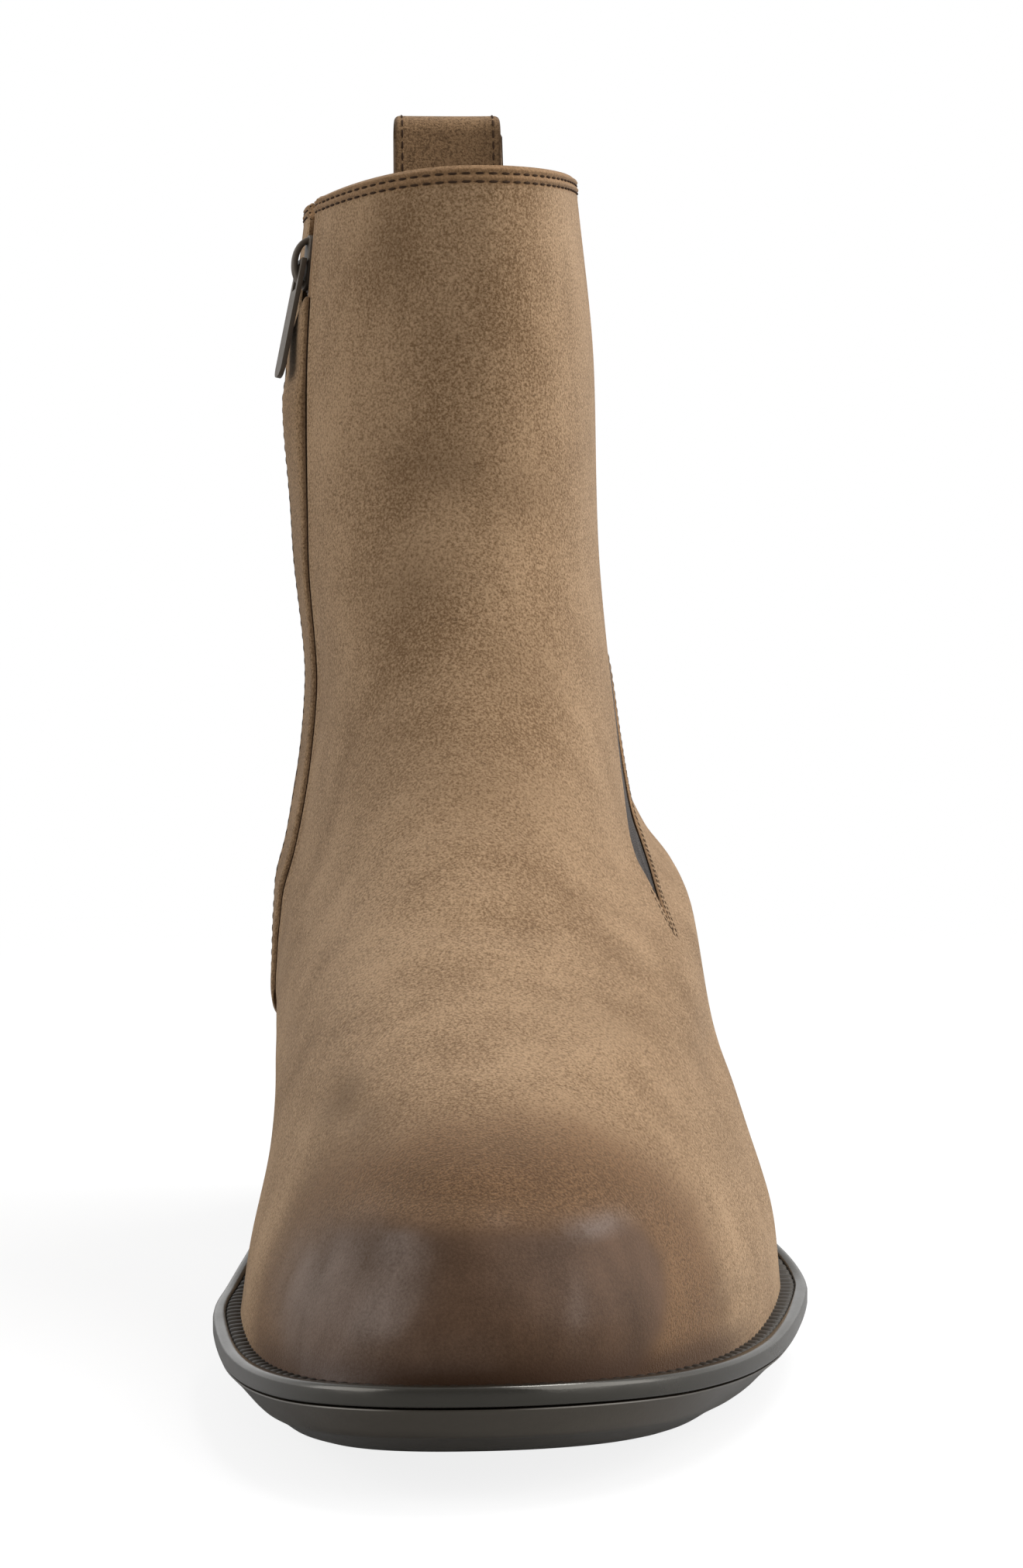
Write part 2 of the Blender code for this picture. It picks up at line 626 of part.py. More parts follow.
def build_pull_loop(group):
    """Strap folded over the back of the collar, its legs outside and inside the wall."""
    centre = column(PROFILE, "back_x", 1.0)
    half_fold = WALL / 2 + LOOP_HALF_FOLD - LOOP_THICK
    top = LOOP_TOP_Z - half_fold - LOOP_THICK
    outer_t = np.linspace(LOOP_OUTER_T, 1, LOOP_LEG_ROWS)
    inner_t = np.linspace(1, LOOP_INNER_T, LOOP_LEG_ROWS)
    bends = np.linspace(0, math.pi, LOOP_BEND_ROWS)
    points = []
    for x in centre + np.linspace(-0.5, 0.5, LOOP_COLUMNS) * LOOP_WIDTH:
        edge_y, edge_z = back_of_upper(x, 1.0)
        middle_y = back_of_upper(centre, 1.0)[0]
        fold_y = edge_y + (middle_y - edge_y) * LOOP_FLATTEN - WALL / 2
        line = [(back_of_upper(x, t)[0] - WALL / 2 + half_fold, back_of_upper(x, t)[1]) for t in outer_t]
        line += [(fold_y + half_fold * math.cos(bend), top + half_fold * math.sin(bend)) for bend in bends]
        line += [(back_of_upper(x, t)[0] - WALL / 2 - half_fold, back_of_upper(x, t)[1]) for t in inner_t]
        points.append([(x, y, z) for y, z in line])
    rows = len(points[0])
    faces = []
    for k in range(LOOP_COLUMNS - 1):
        first = list(range(k * rows, (k + 1) * rows))
        faces += band_faces(first, [n + rows for n in first], closed=False)
    made = new_object("pull_loop", [point for line in points for point in line], faces, group, DARK_SUEDE)
    strap = made.modifiers.new("strap", 'SOLIDIFY')
    strap.thickness = LOOP_THICK * MM
    strap.offset = 1.0
    strap.use_even_offset = True
    return made


def clear_scene():
    """Remove every object of the open scene."""
    for thing in list(bpy.data.objects):
        bpy.data.objects.remove(thing, do_unlink=True)


def new_group(name):
    """Collection linked to the scene."""
    group = bpy.data.collections.new(name)
    bpy.context.scene.collection.children.link(group)
    return group


def main():
    """Build every piece of the bootie."""
    clear_scene()
    group = new_group("ankle_bootie")
    cutters = new_group("cutters")
    build_heel(group)
    build_outsole(group)
    build_welt(group)
    build_insole(group)
    upper = build_upper(group)
    build_gore(group, cutters, upper)
    build_zip_chain(group, cutters, upper)
    build_placket(group)
    frame = zip_frame()
    build_slider(group, cutters, frame)
    build_pull(group, cutters, frame)
    build_pull_loop(group)


main()
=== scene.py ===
"""Looks of the left-foot suede ankle bootie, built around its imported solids.

Lengths are metres in the part's own frame: +Z up, toe towards -Y, +X the outer side of the foot.
The pattern tables are in millimetres and are scaled once, where they are read.
"""

import logging
import math
from collections.abc import Callable, Sequence
from dataclasses import dataclass, field
from enum import Enum
from typing import NamedTuple, Union

import bpy
import numpy as np
from mathutils import Matrix, Vector


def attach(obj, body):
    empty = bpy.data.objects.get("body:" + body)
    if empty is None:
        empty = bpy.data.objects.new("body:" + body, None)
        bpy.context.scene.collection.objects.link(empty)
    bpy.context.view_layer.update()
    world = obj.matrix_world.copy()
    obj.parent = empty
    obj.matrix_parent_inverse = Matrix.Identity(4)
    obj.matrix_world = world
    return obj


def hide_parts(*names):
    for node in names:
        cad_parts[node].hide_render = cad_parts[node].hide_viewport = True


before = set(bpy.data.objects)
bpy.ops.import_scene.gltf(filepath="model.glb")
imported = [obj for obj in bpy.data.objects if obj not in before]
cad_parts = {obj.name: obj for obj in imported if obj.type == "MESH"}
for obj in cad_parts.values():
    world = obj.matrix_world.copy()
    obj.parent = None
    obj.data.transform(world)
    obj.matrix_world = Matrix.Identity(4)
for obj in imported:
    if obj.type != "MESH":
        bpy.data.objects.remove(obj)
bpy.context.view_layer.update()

LOG = logging.getLogger("bootie")
MM = 0.001
Point = tuple[float, float, float]
Colour = tuple[float, float, float]
Line = tuple[np.ndarray, np.ndarray]
WHITE: Colour = (1.0, 1.0, 1.0)


class Body(Enum):
    """Bodies that the pieces ride on."""

    BOOT = "boot"
    PULL_TAB = "pull_tab"


class Slot(Enum):
    """Material slots of the record."""

    SUEDE = "suede"
    DARK_SUEDE = "dark_suede"
    ELASTIC = "elastic"
    WELT_RUBBER = "welt_rubber"
    SOLE_RUBBER = "sole_rubber"
    INSOLE_LEATHER = "insole_leather"
    ZIP_TEETH = "zip_teeth"
    ZIP_METAL = "zip_metal"


class Side(Enum):
    """Sides of the foot."""

    OUTER = "outer"
    INNER = "inner"


class GoreEdge(Enum):
    """Edges of the gore."""

    FRONT = "front"
    BACK = "back"


# Shader graphs

class Value:
    """Socket of a shader graph that can stand in a Python expression."""

    def __init__(self, graph: "Graph", socket: bpy.types.NodeSocket | None) -> None:
        """Wrap a socket of a graph."""
        self.graph = graph
        self.socket = socket

    def _math(self, operation: str, first: "Number", second: "Number") -> "Value":
        """Add a Math node on two values."""
        return self.graph.node("ShaderNodeMath", {"operation": operation}, {0: first, 1: second})

    def __add__(self, other: "Number") -> "Value":
        """Sum."""
        return self._math("ADD", self, other)

    def __sub__(self, other: "Number") -> "Value":
        """Difference."""
        return self._math("SUBTRACT", self, other)

    def __rsub__(self, other: "Number") -> "Value":
        """Difference from a number."""
        return self._math("SUBTRACT", other, self)

    def __mul__(self, other: "Number") -> "Value":
        """Product."""
        return self._math("MULTIPLY", self, other)

    __radd__ = __add__
    __rmul__ = __mul__

    def sine(self) -> "Value":
        """Sine of the value."""
        return self._math("SINE", self, 0.0)

    def ramp(self, low: float, high: float) -> "Value":
        """Smooth step from 0 at low to 1 at high."""
        return self.graph.node("ShaderNodeMapRange", {"interpolation_type": "SMOOTHSTEP"},
                               {"Value": self, "From Min": low, "From Max": high})

    def beside(self, output: str | int) -> "Value":
        """Another output of the same node."""
        return Value(self.graph, self.socket.node.outputs[output])


Number = Union[Value, float]
Socketed = Union[Value, float, Colour, Vector]
Owner = Union[bpy.types.Material, bpy.types.World]


class Graph:
    """Node tree of one material, or of the world."""

    def __init__(self, owner: Owner) -> None:
        """Start with an empty tree."""
        owner.use_nodes = True
        self.owner = owner
        self.tree = owner.node_tree
        self.tree.nodes.clear()

    @classmethod
    def named(cls, name: str) -> "Graph":
        """Start a new material of that name."""
        return cls(bpy.data.materials.new(name))

    def node(self, kind: str, settings: dict | None = None,
             sockets: dict[str | int, Socketed] | None = None, output: str | int = 0) -> Value:
        """Add a node.

        Args:
            kind: Blender's name of the node's type.
            settings: properties of the node, set before its sockets.
            sockets: number, colour or value for each input, by name or index.
            output: output that the result wraps.

        Returns:
            The chosen output, or an empty value where the node has none.
        """
        made = self.tree.nodes.new(kind)
        for key, setting in (settings or {}).items():
            setattr(made, key, setting)
        for key, value in (sockets or {}).items():
            socket = made.inputs[key]
            if isinstance(value, Value):
                self.tree.links.new(value.socket, socket)
            elif socket.type == "RGBA":
                socket.default_value = (*value, 1.0)
            else:
                socket.default_value = value
        return Value(self, made.outputs[output] if made.outputs else None)

    def mix(self, factor: Number, first: Socketed, second: Socketed) -> Value:
        """Blend two colours by a factor."""
        return self.node("ShaderNodeMix", {"data_type": "RGBA", "clamp_factor": True},
                         {0: factor, 6: first, 7: second}, 2)

    def place(self, stretch: Point = (1.0, 1.0, 1.0)) -> Value:
        """Object coordinates, stretched along the axes."""
        spot = self.node("ShaderNodeTexCoord", output="Object")
        return self.node("ShaderNodeVectorMath", {"operation": "MULTIPLY"}, {0: spot, 1: stretch})

    def noise(self, place: Value, size: float, detail: float = 2.0, roughness: float = 0.5) -> Value:
        """Noise of a given grain size, about 0 to 1."""
        return self.node("ShaderNodeTexNoise", None, {
            "Vector": place, "Scale": 1.0 / size, "Detail": detail, "Roughness": roughness})

    def field(self, name: str) -> Value:
        """Number stored on the piece's points."""
        return self.node("ShaderNodeAttribute", {"attribute_name": name}, None, "Fac")

    def uv(self) -> tuple[Value, Value]:
        """The two coordinates of the piece's own map."""
        split = self.node("ShaderNodeSeparateXYZ", None, {0: self.node("ShaderNodeUVMap")})
        return split, split.beside(1)

    def bump(self, height: Number, distance: float, strength: float = 1.0) -> Value:
        """Normal of a surface with small height changes."""
        return self.node("ShaderNodeBump", None, {
            "Height": height, "Distance": distance, "Strength": strength})

    def close(self, sockets: dict[str, Socketed]) -> bpy.types.Material:
        """Finish the material with a Principled shader.

        Args:
            sockets: the shader's inputs.

        Returns:
            The material.
        """
        return self.end(self.node("ShaderNodeBsdfPrincipled", None, sockets))

    def end(self, shader: Value, output: str = "ShaderNodeOutputMaterial") -> Owner:
        """Link a shader to an output node."""
        self.node(output, None, {"Surface": shader})
        return self.owner


# Finishes

def scaled(colour: Colour, factor: float) -> Colour:
    """Colour made lighter or darker by a factor."""
    return tuple(factor * part for part in colour)


@dataclass(frozen=True)
class Suede:
    """Napped suede, with fields for its dark edges with painted shade in the seam's groove, its dark patches
    of smudges and painted shade, and its burnished toe.
    """

    name: str
    light: Colour
    dark: Colour
    edge: Colour
    halo: tuple[Colour, Colour] = ((0.058, 0.0275, 0.011), (0.140, 0.073, 0.032))
    core: tuple[Colour, Colour] = ((0.040, 0.020, 0.010), (0.098, 0.051, 0.027))
    rim: Colour = (0.046, 0.021, 0.010)
    fleck: float = 0.00045
    brush: float = 0.010
    cloud: float = 0.040
    nap: float = 0.00022
    grain: float = 3.6
    smoothed: float = 0.60
    cover: float = 0.90
    shine: float = 0.21
    sheen: Colour = (1.0, 0.88, 0.74)

    def material(self) -> bpy.types.Material:
        """Make the material."""
        graph = Graph.named(self.name)
        place = graph.place()
        fleck = graph.noise(place, self.fleck, 2.0, 0.70)
        speck = graph.noise(place, self.fleck * 2.4, 4.0, 0.75).ramp(0.57, 0.72)
        brush = graph.noise(graph.place((1.0, 1.0, 0.6)), self.brush, 3.0, 0.55)
        cloud = graph.noise(place, self.cloud, 2.0, 0.5)
        patchy = (brush - 0.5) * 0.9 + (cloud - 0.5) * 0.8 + (fleck - 0.5) * 1.0 + 1.0
        halo = (graph.field("burnish") * patchy).ramp(0.06, 0.94)
        core = (graph.field("polish") * patchy).ramp(0.12, 0.90)
        worn = 1.0 - core * self.smoothed
        grain = (fleck - 0.5) * self.grain * worn
        tone = grain + (brush - 0.5) * 0.9 + (cloud - 0.5) * 1.0 + 0.5
        colour = graph.mix(tone, self.dark, self.light)
        colour = graph.mix(speck * worn * 0.55, colour, scaled(self.dark, 0.50))
        # Smudges and patches of painted shade darken the suede.
        colour = graph.mix(graph.field("smudge_and_shade") * (brush + 0.35), colour, scaled(self.dark, 0.75))
        # Dark cut edges, and painted shade in the seam's groove of the upper.
        edge = graph.mix(grain * 0.6 + 0.5, self.edge, scaled(self.edge, 1.9))
        colour = graph.mix(graph.field("edge"), colour, edge)
        colour = graph.mix(halo * self.cover, colour, graph.mix(tone, *self.halo))
        polished = graph.mix((brush - 0.5) * 1.4 + grain * 0.7 + 0.45, *self.core)
        colour = graph.mix(core * self.cover, colour, polished)
        colour = graph.mix(graph.field("rim"), colour, self.rim)
        normal = graph.bump((fleck + brush * 0.5) * worn, self.nap, 0.8)
        return graph.close({
            "Base Color": colour, "Roughness": 0.95 - halo * 0.10 - core * 0.25, "Normal": normal,
            "Coat Weight": graph.field("gloss") * ((brush - 0.5) * 0.7 + (fleck - 0.5) * 0.5 + self.shine),
            "Coat Roughness": 0.30, "Specular IOR Level": 0.14,
            "Sheen Weight": 0.16, "Sheen Roughness": 0.45, "Sheen Tint": self.sheen,
        })


@dataclass(frozen=True)
class Rubber:
    """Moulded satin rubber with a fine skin and slight scuffs."""

    name: str
    base: Colour
    worn: Colour
    roughness: float = 0.42
    shine: float = 0.5
    tint: Colour = (1.0, 0.95, 0.86)
    skin: float = 0.0006
    scuff: float = 0.007
    cloud: float = 0.03

    def material(self) -> bpy.types.Material:
        """Make the material."""
        graph = Graph.named(self.name)
        place = graph.place()
        skin = graph.noise(place, self.skin, 2.0)
        scuff = graph.noise(graph.place((1.0, 1.0, 3.0)), self.scuff, 4.0, 0.6)
        cloud = graph.noise(place, self.cloud, 2.0)
        tone = (scuff - 0.5) * 0.7 + (cloud - 0.5) * 0.9 + (skin - 0.5) * 0.25 + 0.4
        return graph.close({
            "Base Color": graph.mix(tone, self.base, self.worn),
            "Roughness": (scuff - 0.5) * 0.12 + (cloud - 0.5) * 0.15 + self.roughness,
            "Normal": graph.bump(skin + scuff * 1.2, 0.00004, 0.4),
            "Specular IOR Level": self.shine, "Specular Tint": self.tint,
        })


@dataclass(frozen=True)
class Thread:
    """Twisted sewing thread."""

    name: str
    base: Colour
    strand: float = 0.0004

    def material(self) -> bpy.types.Material:
        """Make the material."""
        graph = Graph.named(self.name)
        twist = graph.noise(graph.place((1.0, 1.0, 2.5)), self.strand, 1.0)
        return graph.close({
            "Base Color": graph.mix(twist, self.base, scaled(self.base, 1.9)),
            "Roughness": 0.75 + twist * 0.2, "Normal": graph.bump(twist, 0.0001, 0.6),
            "Specular IOR Level": 0.12,
        })


@dataclass(frozen=True)
class Elastic:
    """Woven elastic whose ribs are in the mesh, with a cross weave in the finish."""

    name: str
    base: Colour
    rib: Colour
    picks: float = 330.0
    ends: float = 36.0
    fuzz: float = 0.0005

    def material(self) -> bpy.types.Material:
        """Make the material."""
        graph = Graph.named(self.name)
        across, along = graph.uv()
        sway = (across * (self.ends * math.tau)).sine() * 1.2
        weave = (along * (self.picks * math.tau) + sway).sine()
        fuzz = graph.noise(graph.place(), self.fuzz, 2.0)
        return graph.close({
            "Base Color": graph.mix(weave * 0.25 + (fuzz - 0.5) * 0.8 + 0.45, self.base, self.rib),
            "Roughness": 0.78 + fuzz * 0.15, "Normal": graph.bump(weave * 0.5 + fuzz, 0.00012, 0.7),
            "Sheen Weight": 0.08, "Sheen Roughness": 0.4, "Specular IOR Level": 0.25,
        })


@dataclass(frozen=True)
class Leather:
    """Smooth lining leather with a fine pebble and soft handling marks."""

    name: str
    base: Colour
    marked: Colour
    roughness: float = 0.58
    pebble: float = 0.0011
    mark: float = 0.022
    pore: float = 0.0016

    def material(self) -> bpy.types.Material:
        """Make the material."""
        graph = Graph.named(self.name)
        place = graph.place()
        pebble = graph.node("ShaderNodeTexVoronoi", {"feature": "SMOOTH_F1"},
                            {"Vector": place, "Scale": 1.0 / self.pebble, "Smoothness": 0.6})
        mark = graph.noise(place, self.mark, 4.0, 0.6)
        pore = graph.noise(place, self.pore, 2.0)
        return graph.close({
            "Base Color": graph.mix((mark - 0.5) * 1.3 + (pore - 0.5) * 0.5 + 0.45, self.base, self.marked),
            "Roughness": (mark - 0.5) * 0.3 + self.roughness,
            "Normal": graph.bump(pebble + pore * 0.6, 0.00012, 0.5),
        })


@dataclass(frozen=True)
class PaintedMetal:
    """Taupe paint over cast metal, rubbed thin in places."""

    name: str
    paint: Colour
    bare: Colour
    peel: float = 0.0007
    rub: float = 0.0022

    def material(self) -> bpy.types.Material:
        """Make the material."""
        graph = Graph.named(self.name)
        place = graph.place()
        peel = graph.noise(place, self.peel, 2.0)
        rub = graph.noise(place, self.rub, 4.0, 0.65).ramp(0.62, 0.74)
        return graph.close({
            "Base Color": graph.mix(rub * 0.55 + (peel - 0.5) * 0.3, self.paint, self.bare),
            "Metallic": rub * 0.4 + 0.04, "Roughness": (peel - 0.5) * 0.2 + 0.48,
            "Normal": graph.bump(peel, 0.00005, 0.5), "Specular IOR Level": 0.18,
        })


Finish = Union[Suede, Rubber, Thread, Elastic, Leather, PaintedMetal]
SUEDE = Suede("taupe_suede", (0.308, 0.203, 0.117), (0.125, 0.071, 0.033), (0.128, 0.072, 0.034))
DARK_SUEDE = Suede("strap_suede", (0.200, 0.122, 0.064), (0.078, 0.044, 0.021), (0.034, 0.019, 0.010))
PLACKET_SUEDE = Suede("placket_suede", (0.262, 0.166, 0.090), (0.100, 0.057, 0.027), (0.070, 0.040, 0.020))
WELT_RUBBER = Rubber("rim_rubber", (0.009, 0.008, 0.006), (0.020, 0.018, 0.014), 0.24, 0.66)
CORD_RUBBER = Rubber("cord_rubber", (0.008, 0.006, 0.004), (0.030, 0.023, 0.017), 0.50, 0.35)
SOLE_RUBBER = Rubber("tread_rubber", (0.024, 0.019, 0.014), (0.044, 0.036, 0.027), 0.32, 0.6)
SEAM_THREAD = Thread("seam_thread", (0.024, 0.013, 0.007))
EDGE_THREAD = Thread("edge_thread", (0.036, 0.021, 0.011))
GORE_ELASTIC = Elastic("gore_elastic", (0.036, 0.031, 0.028), (0.080, 0.071, 0.066))
LINING = Leather("lining_leather", (0.300, 0.205, 0.125), (0.390, 0.285, 0.185))
INSOLE = Leather("footbed_leather", (0.270, 0.180, 0.108), (0.360, 0.255, 0.160), 0.5)
ZIP_TAPE = Thread("tape_weave", (0.028, 0.020, 0.014))
ZIP_TEETH = Rubber("coil_plastic", (0.030, 0.022, 0.016), (0.055, 0.042, 0.032), 0.35)
ZIP_METAL = PaintedMetal("painted_zip_metal", (0.084, 0.067, 0.051), (0.180, 0.152, 0.122))


# Modelling moves

class Bench:
    """Modelling moves on single pieces, made with Blender's own operators."""

    dressed: dict[Finish, bpy.types.Material] = {}
    merge: float = 2e-6

    @staticmethod
    def clear() -> None:
        """Leave edit mode and deselect everything."""
        if bpy.context.mode != "OBJECT":
            bpy.ops.object.mode_set(mode="OBJECT")
        bpy.ops.object.select_all(action="DESELECT")

    @classmethod
    def pick(cls, *pieces: bpy.types.Object) -> None:
        """Select pieces and make the first one active."""
        cls.clear()
        for piece in pieces:
            piece.select_set(True)
        bpy.context.view_layer.objects.active = pieces[0]

    @classmethod
    def added(cls, name: str) -> bpy.types.Object:
        """Name the piece that an operator has just added."""
        piece = bpy.context.active_object
        piece.name = name
        piece.data.name = name
        return piece

    @classmethod
    def sheet(cls, name: str, points: np.ndarray, fields: dict[str, np.ndarray] | None = None,
              holes: np.ndarray | None = None) -> bpy.types.Object:
        """Lay a grid over an array of points.

        Args:
            name: name of the new piece.
            points: places of the grid's points, rows by columns by 3.
            fields: numbers to store on the points, each rows by columns.
            holes: true for each face that is cut out.

        Returns:
            The new piece, its faces all turned the same way.
        """
        rows, columns = points.shape[0] - 1, points.shape[1] - 1
        cls.clear()
        bpy.ops.mesh.primitive_grid_add(x_subdivisions=columns, y_subdivisions=rows, size=2)
        piece = cls.added(name)
        mesh = piece.data
        flat = np.empty(len(mesh.vertices) * 3, np.float32)
        mesh.vertices.foreach_get("co", flat)
        across = np.rint((flat[0::3] + 1) / 2 * columns).astype(int)
        up = np.rint((flat[1::3] + 1) / 2 * rows).astype(int)
        mesh.vertices.foreach_set("co", points[up, across].astype(np.float32).ravel())
        for key, values in (fields or {}).items():
            made = mesh.attributes.new(key, "FLOAT", "POINT")
            made.data.foreach_set("value", values[up, across].astype(np.float32).ravel())
        chosen = np.zeros(len(mesh.polygons), bool)
        if holes is not None:
            corners = np.empty(len(mesh.loops), np.int32)
            mesh.loops.foreach_get("vertex_index", corners)
            corners = corners.reshape(-1, 4)
            chosen = holes[up[corners].min(1), across[corners].min(1)]
        bpy.context.tool_settings.mesh_select_mode = (False, False, True)
        for parts in (mesh.vertices, mesh.edges):
            parts.foreach_set("select", np.zeros(len(parts), bool))
        mesh.polygons.foreach_set("select", chosen)
        mesh.update()
        bpy.ops.object.mode_set(mode="EDIT")
        if chosen.any():
            bpy.ops.mesh.delete(type="FACE")
        bpy.ops.mesh.select_mode(type="VERT")
        bpy.ops.mesh.select_all(action="SELECT")
        bpy.ops.mesh.remove_doubles(threshold=cls.merge)
        bpy.ops.object.mode_set(mode="OBJECT")
        return piece

    @classmethod
    def turn_out(cls, piece: bpy.types.Object) -> None:
        """Turn the faces of a closed piece outwards."""
        cls.pick(piece)
        bpy.ops.object.mode_set(mode="EDIT")
        bpy.ops.mesh.select_all(action="SELECT")
        bpy.ops.mesh.normals_make_consistent(inside=False)
        bpy.ops.object.mode_set(mode="OBJECT")

    @classmethod
    def join(cls, first: bpy.types.Object, *others: bpy.types.Object) -> bpy.types.Object:
        """Join pieces into the first."""
        cls.pick(first, *others)
        bpy.ops.object.join()
        cls.turn_out(first)
        return first

    @classmethod
    def modify(cls, piece: bpy.types.Object, kind: str, **settings: object) -> None:
        """Add a modifier with its settings and apply it."""
        change = piece.modifiers.new(kind.lower(), kind)
        for key, setting in settings.items():
            setattr(change, key, setting)
        cls.pick(piece)
        bpy.ops.object.modifier_apply(modifier=change.name)

    @staticmethod
    def hang(name: str, data: bpy.types.ID) -> bpy.types.Object:
        """Add an object with its data to the scene."""
        holder = bpy.data.objects.new(name, data)
        bpy.context.scene.collection.objects.link(holder)
        return holder

    @classmethod
    def block(cls, name: str, size: Sequence[float]) -> bpy.types.Object:
        """Add a block round the origin."""
        cls.clear()
        bpy.ops.mesh.primitive_cube_add(size=1, scale=size)
        piece = cls.added(name)
        bpy.ops.object.transform_apply(location=True, rotation=True, scale=True)
        return piece

    @classmethod
    def put(cls, piece: bpy.types.Object, where: Matrix) -> None:
        """Move a piece and apply its place to its mesh."""
        piece.matrix_world = where
        cls.pick(piece)
        bpy.ops.object.transform_apply(location=True, rotation=True, scale=True)

    @classmethod
    def copies(cls, name: str, model: bpy.types.Object, origins: np.ndarray,
               axes: np.ndarray) -> bpy.types.Object:
        """Copy a modelled piece to many places in one mesh.

        Args:
            name: name of the new piece.
            model: piece to copy, which is removed afterwards.
            origins: place of each copy.
            axes: X, Y and Z direction of each copy, copies by 3 by 3.

        Returns:
            The piece that holds the copies.
        """
        shape = np.array([v.co for v in model.data.vertices])
        points = np.einsum("vk,nkc->nvc", shape, axes) + origins[:, None]
        faces = [[corner + n * len(shape) for corner in face.vertices]
                 for n in range(len(origins)) for face in model.data.polygons]
        mesh = bpy.data.meshes.new(name)
        mesh.from_pydata(points.reshape(-1, 3), [], faces)
        piece = cls.hang(name, mesh)
        bpy.data.objects.remove(model, do_unlink=True)
        cls.smooth(piece, 60.0)
        return piece

    @classmethod
    def smooth(cls, piece: bpy.types.Object, degrees: float = 40.0) -> None:
        """Shade smooth, with edges over an angle kept sharp."""
        cls.pick(piece)
        bpy.ops.object.shade_smooth_by_angle(angle=math.radians(degrees))

    @classmethod
    def finish(cls, piece: bpy.types.Object, look: Finish, slot: Slot,
               *nodes: str, body: Body = Body.BOOT) -> None:
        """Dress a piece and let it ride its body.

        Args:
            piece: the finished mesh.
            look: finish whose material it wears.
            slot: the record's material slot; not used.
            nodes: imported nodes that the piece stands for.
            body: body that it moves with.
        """
        if look not in cls.dressed:
            cls.dressed[look] = look.material()
        piece.data.materials.clear()
        piece.data.materials.append(cls.dressed[look])
        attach(piece, body.value)
        if nodes:
            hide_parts(*nodes)
        LOG.info("%s: %d faces", piece.name, len(piece.data.polygons))


# The last

class SoleRow(NamedTuple):
    """Heights along the foot: place, welt's top and outsole's bottom."""

    y: float
    welt_top: float
    bottom: float


class ProfileRow(NamedTuple):
    """Front and back ends of one tilted ring of the upper."""

    t: float
    front_x: float
    front_y: float
    front_z: float
    back_x: float
    back_y: float
    back_z: float
    inner_dip: float


class PlanRow(NamedTuple):
    """Half-widths of one ring and the shape of its two ends."""

    t: float
    ball_inner: float
    waist_inner: float
    heel_inner: float
    ball_outer: float
    waist_outer: float
    heel_outer: float
    nose_inner: float
    nose_outer: float
    power_inner: float
    power_outer: float
    tail: float
    tail_power: float


class GoreRow(NamedTuple):
    """Edges of the gore, as fractions of the outer side's length."""

    t: float
    front: float
    back: float


class SeamRow(NamedTuple):
    """Seam in front of the zip, as a fraction of the inner side's length."""

    t: float
    at: float


SOLE_LINE = (
    SoleRow(-135, 18.9, 8.2), SoleRow(-110, 15.4, 4.2), SoleRow(-88, 13.4, 1.0), SoleRow(-74, 12.8, 0.0),
    SoleRow(-34, 12.8, 0.0), SoleRow(-15, 14.8, 1.6), SoleRow(12, 20.5, 8.6), SoleRow(42, 30.0, 19.0),
    SoleRow(66, 36.5, 26.0), SoleRow(100, 41.5, 31.0), SoleRow(136, 43.5, 33.0),
)
PROFILE = (
    ProfileRow(0.00, -13.0, -131.0, 19.8, -4.5, 130.0, 43.8, 0.0),
    ProfileRow(0.06, -13.0, -131.8, 26.5, -4.5, 132.0, 50.0, 0.0),
    ProfileRow(0.13, -13.0, -128.0, 37.0, -4.5, 133.5, 57.0, 0.0),
    ProfileRow(0.21, -12.5, -116.0, 47.0, -4.0, 134.0, 65.0, 0.0),
    ProfileRow(0.29, -11.5, -97.0, 55.0, -4.0, 133.0, 74.0, 0.0),
    ProfileRow(0.37, -10.5, -74.0, 63.0, -3.5, 131.0, 84.0, 0.0),
    ProfileRow(0.45, -9.0, -49.0, 73.0, -3.5, 128.0, 95.0, 0.0),
    ProfileRow(0.53, -7.5, -24.0, 87.0, -3.0, 125.0, 107.0, 0.0),
    ProfileRow(0.61, -6.0, -2.0, 105.0, -3.0, 122.5, 121.0, 0.0),
    ProfileRow(0.70, -4.5, 14.0, 129.0, -2.5, 121.5, 138.0, 0.0),
    ProfileRow(0.80, -3.5, 21.5, 155.0, -2.0, 122.0, 158.0, 0.8),
    ProfileRow(0.90, -2.5, 23.5, 181.0, -2.0, 124.0, 181.0, 2.4),
    ProfileRow(1.00, -2.0, 24.0, 207.5, -1.5, 126.0, 205.0, 4.5),
)
